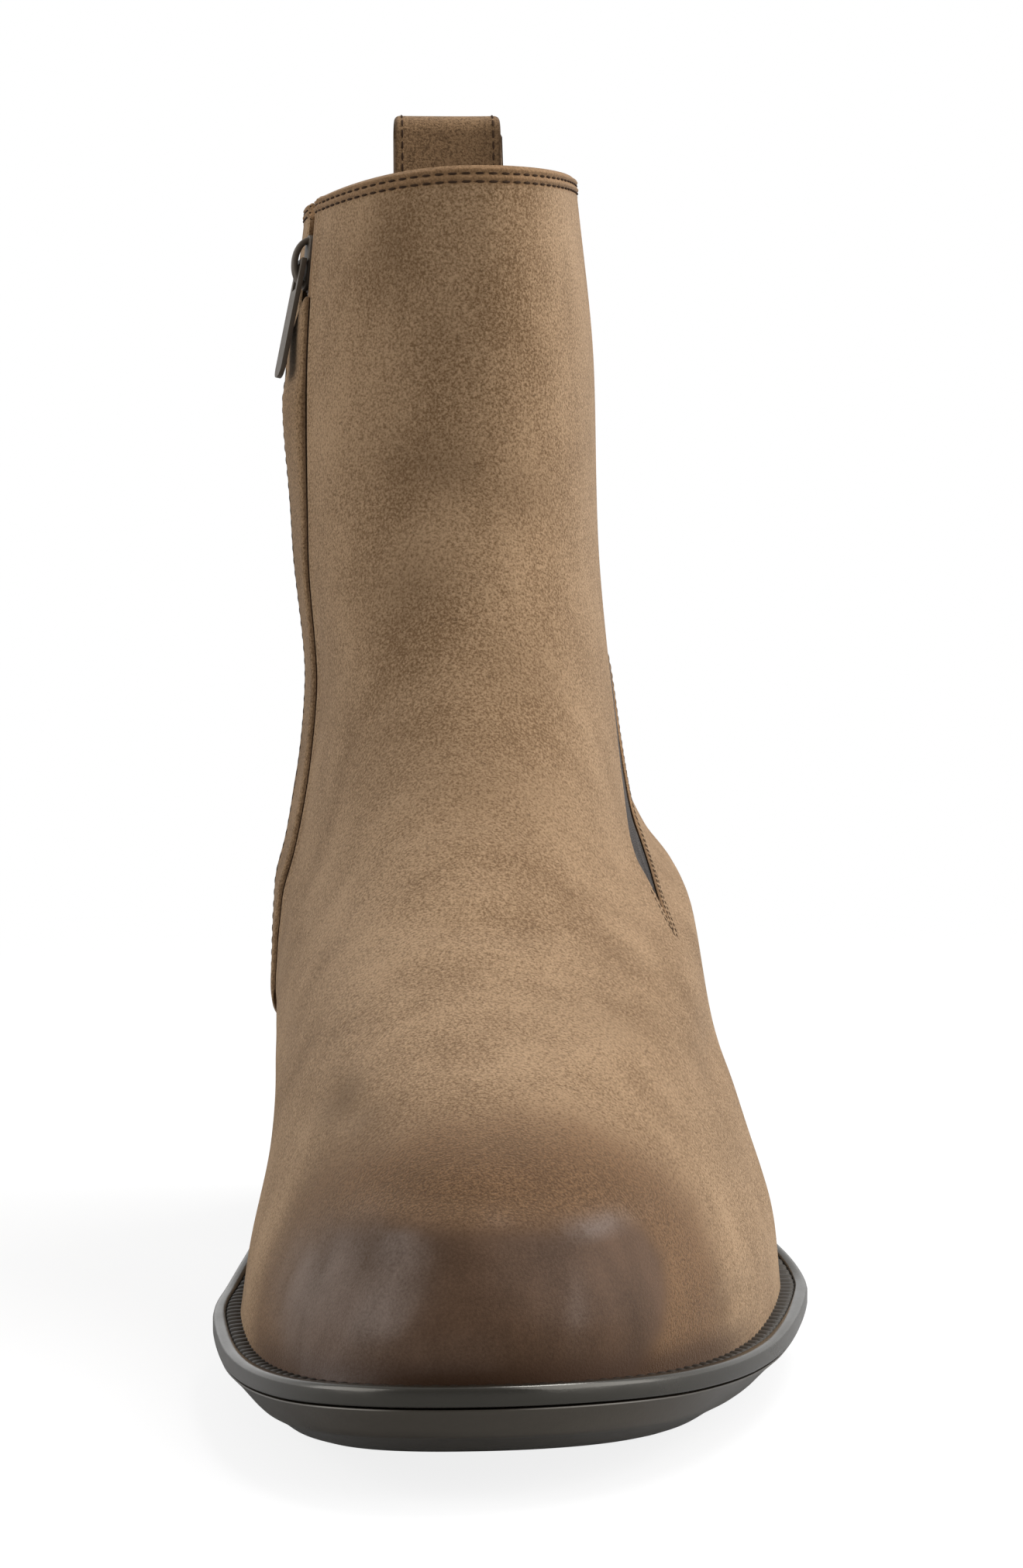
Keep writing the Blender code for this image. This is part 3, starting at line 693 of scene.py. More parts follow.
PLAN = (
    PlanRow(0.00, 37.6, 25.0, 27.0, 58.4, 36.5, 27.5, 0.40, 0.52, 2.5, 2.0, 0.13, 2.2),
    PlanRow(0.06, 36.3, 27.0, 28.5, 57.9, 38.5, 29.5, 0.42, 0.54, 2.4, 2.0, 0.14, 2.2),
    PlanRow(0.14, 33.2, 28.5, 29.5, 54.3, 40.5, 31.0, 0.48, 0.57, 2.2, 2.0, 0.16, 2.2),
    PlanRow(0.24, 32.0, 31.5, 30.5, 49.0, 43.0, 32.0, 0.55, 0.60, 2.0, 2.0, 0.18, 2.2),
    PlanRow(0.36, 30.5, 31.5, 30.5, 46.3, 44.0, 33.0, 0.62, 0.62, 2.0, 2.0, 0.22, 2.2),
    PlanRow(0.42, 28.8, 29.9, 30.0, 40.0, 38.5, 32.5, 0.61, 0.61, 2.0, 2.0, 0.25, 2.2),
    PlanRow(0.48, 27.5, 28.8, 29.0, 34.8, 34.5, 31.5, 0.60, 0.60, 2.0, 2.0, 0.28, 2.2),
    PlanRow(0.60, 26.8, 27.3, 27.5, 31.2, 31.7, 29.0, 0.55, 0.55, 2.0, 2.0, 0.36, 2.2),
    PlanRow(0.72, 30.5, 30.5, 30.0, 27.3, 27.3, 27.3, 0.50, 0.50, 2.1, 2.1, 0.45, 2.2),
    PlanRow(0.86, 32.7, 32.7, 32.0, 25.8, 25.8, 25.8, 0.50, 0.50, 2.1, 2.1, 0.48, 2.3),
    PlanRow(1.00, 30.0, 30.0, 29.5, 21.5, 21.5, 22.0, 0.50, 0.50, 2.1, 2.1, 0.48, 2.4),
)
GORE = (
    GoreRow(0.38, 0.330, 0.334), GoreRow(0.42, 0.345, 0.410), GoreRow(0.47, 0.375, 0.485),
    GoreRow(0.53, 0.400, 0.555), GoreRow(0.62, 0.400, 0.630), GoreRow(0.75, 0.405, 0.690),
    GoreRow(0.90, 0.395, 0.730), GoreRow(1.03, 0.385, 0.750),
)
ZIP_SEAM = (
    SeamRow(0.15, 0.560), SeamRow(0.22, 0.547), SeamRow(0.32, 0.525), SeamRow(0.42, 0.495),
    SeamRow(0.52, 0.450), SeamRow(0.62, 0.390), SeamRow(0.72, 0.345), SeamRow(0.84, 0.325),
    SeamRow(1.03, 0.350),
)


def smooth_curve(at: np.ndarray | float, knots: Sequence[float], values: Sequence[float]) -> np.ndarray:
    """Read a smooth curve through knots that never overshoots them.

    Args:
        at: places to read.
        knots: rising places of the knots.
        values: values at the knots.

    Returns:
        The values at the places.
    """
    knots, values = np.asarray(knots, float), np.asarray(values, float)
    steps = np.diff(knots)
    rises = np.diff(values) / steps
    slopes = np.zeros_like(values)
    for k in range(1, len(values) - 1):
        before, after = rises[k - 1], rises[k]
        if before * after > 0:
            slopes[k] = 2 * before * after / (before + after)
    slopes[0], slopes[-1] = rises[0], rises[-1]
    k = np.clip(np.searchsorted(knots, at, side="right") - 1, 0, len(knots) - 2)
    f = (at - knots[k]) / steps[k]
    ends = values[k] * (1 + 2 * f) * (1 - f) ** 2 + values[k + 1] * f * f * (3 - 2 * f)
    return ends + steps[k] * f * (1 - f) * (slopes[k] * (1 - f) - slopes[k + 1] * f)


def column(table: Sequence[NamedTuple], name: str, at: np.ndarray | float) -> np.ndarray:
    """Read a table's named column at places between its rows."""
    return smooth_curve(at, [row[0] for row in table], [getattr(row, name) for row in table])


def step(value: np.ndarray | float, low: float, high: np.ndarray | float) -> np.ndarray:
    """Smooth step from 0 at low to 1 at high."""
    f = np.clip((np.asarray(value, float) - low) / (high - low), 0, 1)
    return f * f * (3 - 2 * f)


def unit(vectors: np.ndarray) -> np.ndarray:
    """Vectors scaled to length one."""
    return vectors / np.linalg.norm(vectors, axis=-1, keepdims=True)


def run_along(points: np.ndarray) -> np.ndarray:
    """Distance along a line at each of its points."""
    return np.concatenate(([0.0], np.cumsum(np.linalg.norm(np.diff(points, axis=0), axis=1))))


def read_along(at: np.ndarray, run: np.ndarray, values: np.ndarray) -> np.ndarray:
    """Vectors at distances along a line whose points carry them."""
    return np.column_stack([np.interp(at, run, values[:, k]) for k in range(3)])


def eased(count: int) -> np.ndarray:
    """Places from 0 to 1 that lie closer together at both ends."""
    return (1 - np.cos(np.linspace(0, math.pi, count))) / 2


def hump(value: np.ndarray, at: np.ndarray | float, width: float) -> np.ndarray:
    """Smooth hump of height one round a place."""
    return np.exp(-((value - at) / width) ** 2)


@dataclass
class Last:
    """Surface of the upper: u runs round it from the toe by the outer side, t from sole to collar."""

    around: int = 560
    along: int = 380
    low: float = -0.03
    high: float = 1.03
    samples: int = 241
    fairing: int = 10
    ball_at: dict[Side, float] = field(default_factory=lambda: {Side.INNER: 0.30, Side.OUTER: 0.36})
    waist_at: float = 0.65
    heel_at: float = 0.86
    gore_close: tuple[float, float] = (0.403, 0.455)
    follow_end: float = 0.5
    seat_gap: float = 0.5
    table: np.ndarray = field(init=False)
    lengths: dict[Side, np.ndarray] = field(init=False)
    levels: np.ndarray = field(init=False)

    def __post_init__(self) -> None:
        """Sample the surface once and fair it."""
        self.levels = np.linspace(self.low, self.high, self.along + 1)
        self.lengths = {side: np.zeros(self.along + 1) for side in Side}
        rows = []
        half = self.around // 2
        for n, t in enumerate(self.levels):
            halves = {}
            for side in Side:
                line = self.ring_side(side, t)
                run = run_along(line)
                self.lengths[side][n] = run[-1] * MM
                halves[side] = read_along(np.linspace(0, run[-1], half + 1), run, line)
            rows.append(np.concatenate((halves[Side.OUTER][:-1], halves[Side.INNER][:0:-1])))
        table = np.array(rows) * MM
        for _ in range(self.fairing):
            table = (np.roll(table, 1, 1) + 2 * table + np.roll(table, -1, 1)) / 4
            inner = (table[:-2] + 2 * table[1:-1] + table[2:]) / 4
            table = np.concatenate((table[:1], inner, table[-1:]))
        self.table = table

    def half_width(self, side: Side, s: np.ndarray, t: float, grow: np.ndarray | float = 0.0) -> np.ndarray:
        """Distance in millimetres from a ring's axis to its edge, at s from front to back."""
        ball, waist, heel = (column(PLAN, f"{place}_{side.value}", t) for place in ("ball", "waist", "heel"))
        width = smooth_curve(s, (0, self.ball_at[side], self.waist_at, self.heel_at, 1),
                             (ball, ball, waist, heel, heel)) + grow
        nose, power = column(PLAN, f"nose_{side.value}", t), column(PLAN, f"power_{side.value}", t)
        tail, tail_power = column(PLAN, "tail", t), column(PLAN, "tail_power", t)
        front = 1 - np.clip(1 - s / nose, 0, 1) ** power
        back = 1 - np.clip(1 - (1 - s) / tail, 0, 1) ** tail_power
        return width * front ** (1 / power) * back ** (1 / tail_power)

    def ring_axis(self, s: np.ndarray, t: float) -> np.ndarray:
        """Points in millimetres on the line from a ring's front to its back."""
        front, back = ([column(PROFILE, f"{end}_{axis}", t) for axis in "xyz"] for end in ("front", "back"))
        return np.outer(1 - s, front) + np.outer(s, back)

    def ring_side(self, side: Side, t: float) -> np.ndarray:
        """Points in millimetres along one side of a ring, from the front to the back."""
        s = eased(self.samples)
        points = self.ring_axis(s, t)
        feather = self.ring_axis(s, 0.0)
        settle = column(SOLE_LINE, "welt_top", feather[:, 1]) + self.seat_gap - feather[:, 2]
        points[:, 2] += settle * max(0.0, 1 - t / self.follow_end) ** 2
        if side is Side.INNER:
            points[:, 2] -= column(PROFILE, "inner_dip", t) * 4 * s * (1 - s)
        points[:, 0] += self.half_width(side, s, t) * (1 if side is Side.OUTER else -1)
        return points

    @staticmethod
    def _weights(f: np.ndarray) -> tuple[np.ndarray, ...]:
        """Weights of four neighbours for a smooth reading between the middle two."""
        return (((2 - f) * f - 1) * f / 2, ((3 * f - 5) * f * f + 2) / 2,
                ((4 - 3 * f) * f + 1) * f / 2, (f - 1) * f * f / 2)

    def at(self, u: np.ndarray, t: np.ndarray) -> np.ndarray:
        """Points of the surface."""
        x = (np.asarray(u, float) % 1.0) * self.around
        y = (np.clip(t, self.low, self.high) - self.low) / (self.high - self.low) * self.along
        i = np.floor(x).astype(int)
        j = np.clip(np.floor(y).astype(int), 1, self.along - 2)
        across, along = self._weights(x - i), self._weights(y - j)
        total = 0.0
        for a in range(4):
            for b in range(4):
                spot = self.table[j + b - 1, (i + a - 1) % self.around]
                total = total + (across[a] * along[b])[..., None] * spot
        return total

    def normal(self, u: np.ndarray, t: np.ndarray, reach: float = 0.003) -> np.ndarray:
        """Outward unit normals of the surface."""
        u, t = np.asarray(u, float), np.asarray(t, float)
        ahead = self.at(u + reach, t) - self.at(u - reach, t)
        return unit(np.cross(ahead, self.at(u, t + reach) - self.at(u, t - reach)))

    def off(self, u: np.ndarray, t: np.ndarray, height: np.ndarray | float) -> np.ndarray:
        """Points at a height over the surface."""
        u, t = np.broadcast_arrays(np.asarray(u, float), np.asarray(t, float))
        return self.at(u, t) + self.normal(u, t) * np.broadcast_to(height, u.shape)[..., None]

    def length(self, side: Side, t: np.ndarray) -> np.ndarray:
        """Length of one side of the ring."""
        return np.interp(t, self.levels, self.lengths[side])

    def rise(self, u: np.ndarray, t: np.ndarray, reach: float = 0.004) -> np.ndarray:
        """Length on the surface for each unit of t."""
        return np.linalg.norm(self.at(u, t + reach) - self.at(u, t - reach), axis=-1) / (2 * reach)

    def gore_edge(self, edge: GoreEdge, t: np.ndarray | float, shift: float = 0.0) -> np.ndarray:
        """Place round the ring of an edge of the gore, shifted towards the heel by a length."""
        t = np.asarray(t, float)
        front, back = (column(GORE, each.value, np.maximum(t, GORE[0].t)) for each in GoreEdge)
        low, high = self.gore_close
        half = (back - front) / 2 * np.clip((t - low) / (high - low), 0, 1)
        at = (front + back) / 2 + (half if edge is GoreEdge.BACK else -half)
        return (at + shift / self.length(Side.OUTER, t)) / 2

    def past_seam(self, t: np.ndarray, past: np.ndarray | float) -> np.ndarray:
        """Place round the ring on the inner side, a length past the zip's seam."""
        t = np.asarray(t, float)
        seam = column(ZIP_SEAM, "at", np.maximum(t, ZIP_SEAM[0].t))
        return 1 - (seam + past / self.length(Side.INNER, t)) / 2

    def line(self, u: np.ndarray, t: np.ndarray, height: np.ndarray | float) -> Line:
        """Points and normals along places of the surface."""
        return self.off(u, t, height), self.normal(u, t)


# Sub-assemblies

@dataclass(frozen=True)
class Stitch:
    """One sewn stitch, copied along lines."""

    pitch: float = 2.5 * MM
    length: float = 1.7 * MM
    thick: float = 0.46 * MM

    def capsule(self) -> bpy.types.Object:
        """Model one stitch along X, with its outside towards Z."""
        Bench.clear()
        bpy.ops.mesh.primitive_uv_sphere_add(segments=8, ring_count=6, radius=1.0)
        piece = Bench.added("stitch")
        bpy.ops.object.mode_set(mode="EDIT")
        bpy.ops.mesh.select_all(action="SELECT")
        bpy.ops.transform.rotate(value=math.pi / 2, orient_axis="Y", center_override=(0, 0, 0))
        half_thick = self.thick / 2
        bpy.ops.transform.resize(value=(self.length / 2, half_thick, half_thick), center_override=(0, 0, 0))
        bpy.ops.object.mode_set(mode="OBJECT")
        return piece

    def sew(self, name: str, lines: Sequence[Line]) -> bpy.types.Object:
        """Sew along lines.

        Args:
            name: name of the new piece.
            lines: points and outward normals of each line.

        Returns:
            The piece with all the stitches.
        """
        origins, axes = [], []
        for points, normals in lines:
            run = run_along(points)
            places = np.arange(self.pitch / 2, run[-1], self.pitch)
            reach = self.pitch / 4
            ahead = unit(read_along(places + reach, run, points) - read_along(places - reach, run, points))
            side = unit(np.cross(unit(read_along(places, run, normals)), ahead))
            origins.append(read_along(places, run, points))
            axes.append(np.stack((ahead, side, np.cross(ahead, side)), axis=1))
        return Bench.copies(name, self.capsule(), np.concatenate(origins), np.concatenate(axes))


@dataclass(frozen=True)
class Crease:
    """Soft trough with a low ridge along each side, or the reverse, through places (u, t) of the upper."""

    line: tuple[tuple[float, float], ...]
    depth: float
    width: float

    def height(self, last: Last, points: np.ndarray) -> np.ndarray:
        """Height change that the crease gives to points of the surface."""
        ends = np.array(self.line)
        fine = np.linspace(0, 1, 17)
        knots = np.linspace(0, 1, len(ends))
        path = last.at(np.interp(fine, knots, ends[:, 0]), np.interp(fine, knots, ends[:, 1]))
        nearest = np.full(points.shape[:-1], np.inf)
        along = np.zeros(points.shape[:-1])
        for n, (start, stop) in enumerate(zip(path, path[1:])):
            reach = stop - start
            f = np.clip((points - start) @ reach / (reach @ reach), 0, 1)
            distance = np.linalg.norm(points - start - f[..., None] * reach, axis=-1)
            closer = distance < nearest
            nearest = np.where(closer, distance, nearest)
            along = np.where(closer, (n + f) / (len(path) - 1), along)
        taper = np.sin(np.clip(along, 0, 1) * math.pi) ** 0.8
        ridge = 0.45 * hump(nearest, 2 * self.width, self.width)
        return self.depth * taper * (ridge - hump(nearest, 0.0, self.width))


CREASES = (
    Crease(((-0.066, 0.146), (-0.035, 0.160), (0.000, 0.160), (0.030, 0.156), (0.060, 0.140)),
           -0.40 * MM, 3.2 * MM),
    Crease(((-0.085, 0.27), (-0.070, 0.25), (-0.052, 0.245)), 0.40 * MM, 2.6 * MM),
    Crease(((-0.060, 0.455), (-0.020, 0.475), (0.025, 0.470), (0.060, 0.450)), 0.35 * MM, 4.5 * MM),
    Crease(((-0.045, 0.545), (0.000, 0.560), (0.045, 0.545)), 0.40 * MM, 4.0 * MM),
    Crease(((-0.080, 0.620), (-0.045, 0.640), (-0.010, 0.650)), 0.30 * MM, 3.2 * MM),
    Crease(((-0.075, 0.800), (-0.035, 0.785), (0.010, 0.770)), 0.22 * MM, 3.5 * MM),
    Crease(((0.080, 0.050), (0.105, 0.055), (0.130, 0.045)), 0.30 * MM, 2.2 * MM),
    Crease(((0.150, 0.230), (0.185, 0.250), (0.220, 0.240)), 0.40 * MM, 4.0 * MM),
    Crease(((-0.230, 0.250), (-0.195, 0.265), (-0.160, 0.250)), 0.35 * MM, 4.0 * MM),
    Crease(((0.440, 0.420), (0.500, 0.445), (0.560, 0.420)), 0.40 * MM, 4.5 * MM),
    Crease(((0.430, 0.560), (0.490, 0.580), (0.550, 0.565)), 0.30 * MM, 4.0 * MM),
)


class SmudgeAndShade(NamedTuple):
    """Dark patch on the suede, used both for smudges and for painted shade: its middle, its reach along the
    axes and its strength.
    """

    place: Point
    reach: Point
    strength: float


class Streak(NamedTuple):
    """Bright streak of the polished toe: its middle seen from the front, its reach and its strength."""

    x: float
    z: float
    wide: float
    high: float
    strength: float


# Smudges, and painted shade: the patches on the front of the shaft and ankle, from 100 to 153 mm up, darken
# its front-facing middle where shade falls.
SMUDGES_AND_SHADE = (
    SmudgeAndShade((-31.5, -73.0, 52.0), (7.0, 9.0, 5.0), 0.75),
    SmudgeAndShade((-27.0, -86.0, 51.0), (6.0, 8.0, 3.5), 0.50),
    SmudgeAndShade((28.0, -92.5, 20.8), (5.0, 8.0, 2.2), 0.80),
    SmudgeAndShade((27.0, -94.0, 25.5), (3.0, 6.0, 3.0), 0.50),
    SmudgeAndShade((-17.7, 29.8, 192.6), (5.0, 12.0, 10.0), 0.40),
    SmudgeAndShade((-9.0, 22.0, 176.0), (7.0, 12.0, 9.0), 0.15),
    SmudgeAndShade((-10.4, 22.2, 153.0), (12.0, 12.0, 7.0), 0.40),
    SmudgeAndShade((6.0, 21.0, 147.6), (10.0, 12.0, 6.0), 0.35),
    SmudgeAndShade((-14.0, 18.5, 131.0), (9.0, 12.0, 8.0), 0.35),
    SmudgeAndShade((4.0, 10.0, 116.0), (14.0, 14.0, 10.0), 0.30),
    SmudgeAndShade((12.0, -55.0, 62.0), (14.0, 14.0, 5.0), 0.25),
    SmudgeAndShade((36.0, -60.0, 42.0), (6.0, 16.0, 6.0), 0.25),
    SmudgeAndShade((-3.0, -9.0, 100.0), (18.0, 22.0, 15.0), 0.34),
)
BURNISH_EDGE = (
    (-48.0, 19.0), (-47.6, 25.5), (-42.4, 34.6), (-36.0, 42.6), (-29.2, 48.0), (-18.1, 52.6), (-6.2, 53.4),
    (3.9, 51.4), (12.7, 47.6), (19.2, 43.0), (24.0, 36.8), (26.6, 29.0), (27.4, 22.6), (27.0, 16.0),
    (20.0, 10.0), (-46.0, 10.0),
)
STREAKS = (Streak(7.0, 39.6, 6.0, 1.7, 2.8), Streak(2.0, 27.0, 2.4, 7.5, 1.0),
           Streak(-25.5, 38.6, 5.0, 1.4, 1.3))
POLISH_EDGE = (
    (-43.2, 20.1), (-42.5, 25.3), (-39.8, 31.7), (-34.9, 37.5), (-28.3, 41.0), (-19.3, 41.8), (-10.0, 41.4),
    (-0.2, 41.4), (9.0, 41.1), (14.4, 37.7), (17.4, 32.8), (17.8, 27.0), (16.8, 21.8), (13.0, 16.6),
    (6.0, 11.0), (-40.0, 12.0),
)


class Spots(NamedTuple):
    """Where the points of the skin lie: lengths in millimetres, but for u and t."""

    u: np.ndarray
    t: np.ndarray
    to_gore: np.ndarray
    behind: np.ndarray
    to_slit: np.ndarray
    past: np.ndarray
    below: np.ndarray


class Bulge(NamedTuple):
    """Raised or sunk line of the collar: its distance from the top, its height and its width."""

    below: float
    height: float
    width: float


@dataclass
class Upper:
    """Suede skin of vamp, quarters and shaft with its lining and seams."""

    last: Last
    stitch: Stitch = Stitch()
    wall: float = 1.5 * MM
    low: float = -0.008
    body_rows: int = 150
    collar_rows: int = 24
    collar_from: float = 0.975
    collar_rise: float = 265.0 * MM
    collar_bulges: tuple[Bulge, ...] = (Bulge(1.5, -0.30, 0.32), Bulge(3.0, -0.30, 0.32),
                                        Bulge(0.8, 0.22, 0.5), Bulge(2.25, 0.22, 0.5))
    stitch_rows: tuple[float, float] = (1.5 * MM, 3.0 * MM)
    stitch_points: int = 160
    stitch_lift: float = 0.05 * MM
    stitch_clear: float = 0.004
    slit: tuple[float, float] = (4.0 * MM, 10.0 * MM)
    slit_from: float = 0.20
    gore_from: float = 0.402
    edge_steps: tuple[float, ...] = (0.0, 0.25 * MM, 0.6 * MM, 1.2 * MM, 2.0 * MM)
    edge_clear: float = 3.0 * MM
    seam_behind: tuple[float, ...] = (4.0, 3.8, 3.4, 2.8, 2.0, 1.2, 0.7, 0.45)
    seam_front: tuple[float, ...] = (0.15, 0.0, -0.2, -0.6, -1.2, -2.2)
    seam_end: float = -3.5 * MM
    seam_fade: tuple[float, float] = (0.15, 0.21)
    gore_fade: tuple[float, float] = (0.390, 0.408)
    slit_fade: tuple[float, float] = (0.195, 0.21)
    gore_roll: tuple[float, float] = (0.40, 0.8)
    slit_roll: tuple[float, float] = (0.35, 0.7)
    panel_lift: float = 0.30
    panel_nick: float = 0.22
    groove: tuple[float, float] = (0.05, 4.2)
    groove_depth: float = 0.42
    band_lift: float = 0.15
    band_roll: float = 0.55
    front_columns: int = 78
    back_columns: int = 100
    lining_gap: float = 0.06 * MM
    lining_thick: float = 0.44 * MM

    def build(self) -> None:
        """Make the skin, the lining and the collar's stitches."""
        self.skin()
        self.lining()
        lines = []
        for drop in self.stitch_rows:
            t = 1 - drop / self.collar_rise
            front, back = (float(self.last.gore_edge(edge, t)) for edge in GoreEdge)
            slit_front, slit_back = (float(self.last.past_seam(t, past)) for past in self.slit)
            for start, stop in ((slit_front, 1 + front), (back, slit_back)):
                u = np.linspace(start + self.stitch_clear, stop - self.stitch_clear, self.stitch_points)
                lines.append(self.last.line(u, np.full(len(u), t), self.stitch_lift))
        Bench.finish(self.stitch.sew("collar_stitches", lines), SEAM_THREAD, Slot.SUEDE)

    def rows(self) -> np.ndarray:
        """Places of the rows from the welt to the collar."""
        return np.concatenate((np.linspace(self.low, self.collar_from, self.body_rows + 1)[:-1],
                               np.linspace(self.collar_from, 1.0, self.collar_rows + 1)))

    @staticmethod
    def spread(start: np.ndarray, stop: np.ndarray, count: int) -> np.ndarray:
        """Even places between two edges in every row."""
        return start[:, None] + (stop - start)[:, None] * np.linspace(0, 1, count)

    @staticmethod
    def rubbed(points: np.ndarray, outline: Sequence[tuple[float, float]],
               low: float, high: float) -> np.ndarray:
        """How far a rubbed patch of the toe covers each point.

        Args:
            points: places on the upper.
            outline: the patch's corners seen from the front, x and z in millimetres.
            low: depth inside the outline, in millimetres, where the patch starts.
            high: depth where it is full.

        Returns:
            A number from 0 to 1 for each point.
        """
        x, y, z = np.moveaxis(points, -1, 0) / MM
        inside = np.zeros(x.shape, bool)
        nearest = np.full(x.shape, np.inf)
        for (x0, z0), (x1, z1) in zip(outline, outline[1:] + outline[:1]):
            wide, tall = x1 - x0, z1 - z0
            f = np.clip(((x - x0) * wide + (z - z0) * tall) / (wide ** 2 + tall ** 2), 0, 1)
            nearest = np.minimum(nearest, np.hypot(x - x0 - f * wide, z - z0 - f * tall))
            if tall:
                inside ^= ((z0 > z) != (z1 > z)) & (x < x0 + (z - z0) * wide / tall)
        depth = np.where(inside, nearest, -nearest)
        return step(depth, low, high) * (1 - step(y, -85.0, -60.0))

    @staticmethod
    def streaks(points: np.ndarray) -> np.ndarray:
        """How strongly the bright streaks of the polish show at each point."""
        x, y, z = np.moveaxis(points, -1, 0) / MM
        spots = [streak.strength * hump(x, streak.x, streak.wide) * hump(z, streak.z, streak.high)
                 for streak in STREAKS]
        return np.maximum.reduce(spots) * (y < -90)

    @staticmethod
    def smudge_and_shade(points: np.ndarray) -> np.ndarray:
        """How dark each point is made by the smudges and the patches of painted shade, from 0 to 1."""
        total = np.zeros(points.shape[:-1])
        for mark in SMUDGES_AND_SHADE:
            apart = np.linalg.norm((points / MM - mark.place) / mark.reach, axis=-1)
            total = np.maximum(total, mark.strength * np.exp(-apart ** 2))
        return total

    def columns(self, t: np.ndarray) -> tuple[np.ndarray, tuple[int, int]]:
        """Lay out the skin's columns round the boot.

        Args:
            t: places of the rows.

        Returns:
            Places round the ring, rows by columns, and the columns of faces in the gore and in the slit.
        """
        last = self.last
        outer, inner = (2 * last.length(side, t) for side in (Side.OUTER, Side.INNER))
        front, back = (last.gore_edge(edge, t) for edge in GoreEdge)
        slit = last.past_seam(t, self.slit[1])
        steps = np.array(self.edge_steps)
        outer_steps, inner_steps = steps / outer[:, None], steps / inner[:, None]
        clear_outer, clear_inner = self.edge_clear / outer, self.edge_clear / inner
        u = np.hstack((
            self.spread(0 * t, front - clear_outer, self.front_columns),
            (front[:, None] - outer_steps)[:, ::-1],
            back[:, None] + outer_steps,
            self.spread(back + clear_outer, slit - clear_inner, self.back_columns),
            (slit[:, None] - inner_steps)[:, ::-1],
            *(last.past_seam(t, past * MM)[:, None] for past in (*self.seam_behind, *self.seam_front)),
            self.spread(last.past_seam(t, self.seam_end), 0 * t + 1, self.front_columns),
        ))
        gore_gap = self.front_columns + len(steps) - 1
        return u, (gore_gap, gore_gap + 2 * len(steps) + self.back_columns)

    def spots(self, u: np.ndarray, t: np.ndarray) -> Spots:
        """Measure where the skin's points lie.

        Args:
            u: places round the ring, rows by columns.
            t: places of the rows.

        Returns:
            Distances from the edges, the seam and the collar.
        """
        last = self.last
        outer, inner = (2 * last.length(side, t)[:, None] / MM for side in (Side.OUTER, Side.INNER))
        to_front = last.gore_edge(GoreEdge.FRONT, t)[:, None] - u
        to_back = u - last.gore_edge(GoreEdge.BACK, t)[:, None]
        slit_front, slit_back, seam = (last.past_seam(t, past)[:, None] for past in (*self.slit, 0.0))
        tall = np.broadcast_to(t[:, None], u.shape)
        return Spots(u, tall, np.maximum(to_front, to_back) * outer, to_back > to_front,
                     np.maximum(slit_back - u, u - slit_front) * inner, (seam - u) * inner,
                     (1 - tall) * self.collar_rise / MM)

    def in_groove(self, spots: Spots) -> np.ndarray:
        """True for the points in the seam's groove."""
        return (spots.past > self.groove[0]) & (spots.past < self.groove[1])

    def relief(self, spots: Spots) -> np.ndarray:
        """Height in millimetres of the rolled edges, the seam's step and the collar's band over the last."""
        past, below = spots.past, spots.below
        rolls = [-depth * (1 - step(away, 0, reach)) * step(spots.t, *fade)
                 for (depth, reach), away, fade in ((self.gore_roll, spots.to_gore, self.gore_fade),
                                                    (self.slit_roll, spots.to_slit, self.slit_fade))]
        panel = np.where((past > -6) & (past <= self.groove[0]),
                         self.panel_lift * (1 - step(-past, 0.2, 2.6)) - self.panel_nick * (past > -0.1), 0)
        groove = np.where(self.in_groove(spots), 0.32 * step(past, 0.6, 1.2) - self.groove_depth, 0)
        band = self.band_lift * (1 - step(below, 3.3, 4.0)) - self.band_roll * (1 - step(below, 0, 0.7))
        bulges = sum(bulge.height * hump(below, bulge.below, bulge.width) for bulge in self.collar_bulges)
        return sum(rolls) + (panel + groove) * step(spots.t, *self.seam_fade) + band + bulges

    def fields(self, spots: Spots, points: np.ndarray) -> dict[str, np.ndarray]:
        """Numbers that the suede's finish reads.

        Args:
            spots: where the skin's points lie.
            points: the points.

        Returns:
            A field for each part of the finish.
        """
        x, y, _ = np.moveaxis(points, -1, 0) / MM
        polish = self.rubbed(points, POLISH_EDGE, -3.5, 5.0)
        raw_edge = np.where(spots.behind, 1.7, 0.7)
        dark_edges_and_groove_shade = (0.72 * (1 - step(spots.below, 3.0, 3.9)),
                      0.95 * (1 - step(spots.to_gore, 0.1, raw_edge)) * step(spots.t, *self.gore_fade),
                      # Painted shade: the seam's groove is darkened towards the edge colour.
                      0.6 * self.in_groove(spots) * step(spots.t, *self.seam_fade))
        return {
            "burnish": self.rubbed(points, BURNISH_EDGE, -8.0, 7.0),
            "polish": polish,
            "gloss": np.maximum(polish * (1 - 0.80 * step(x, -13.0, -6.0)), self.streaks(points)),
            "edge": np.maximum.reduce(dark_edges_and_groove_shade),
            "smudge_and_shade": self.smudge_and_shade(points),
            "rim": 0.85 * (1 - step(spots.t, 0.002, 0.042)) * (1 - step(y, -100.0, -68.0)),
        }

    def skin(self) -> None:
        """Make the suede skin with its cut-outs, edges, seam step and creases."""
        t = self.rows()
        u, gaps = self.columns(t)
        spots = self.spots(u, t)
        base = self.last.at(u, spots.t)
        height = self.relief(spots) * MM + sum(crease.height(self.last, base) for crease in CREASES)
        points = self.last.off(u, spots.t, height)
        points[:, -1] = points[:, 0]
        holes = np.zeros((len(t) - 1, u.shape[1] - 1), bool)
        for gap, start in zip(gaps, (self.gore_from, self.slit_from)):
            holes[:, gap] = (t[1:] + t[:-1]) / 2 > start
        piece = Bench.sheet("upper_skin", points, self.fields(spots, points), holes)
        Bench.modify(piece, "SOLIDIFY", thickness=self.wall, offset=-1.0, use_even_offset=False)
        Bench.smooth(piece, 55.0)
        Bench.finish(piece, SUEDE, Slot.SUEDE, "upper")

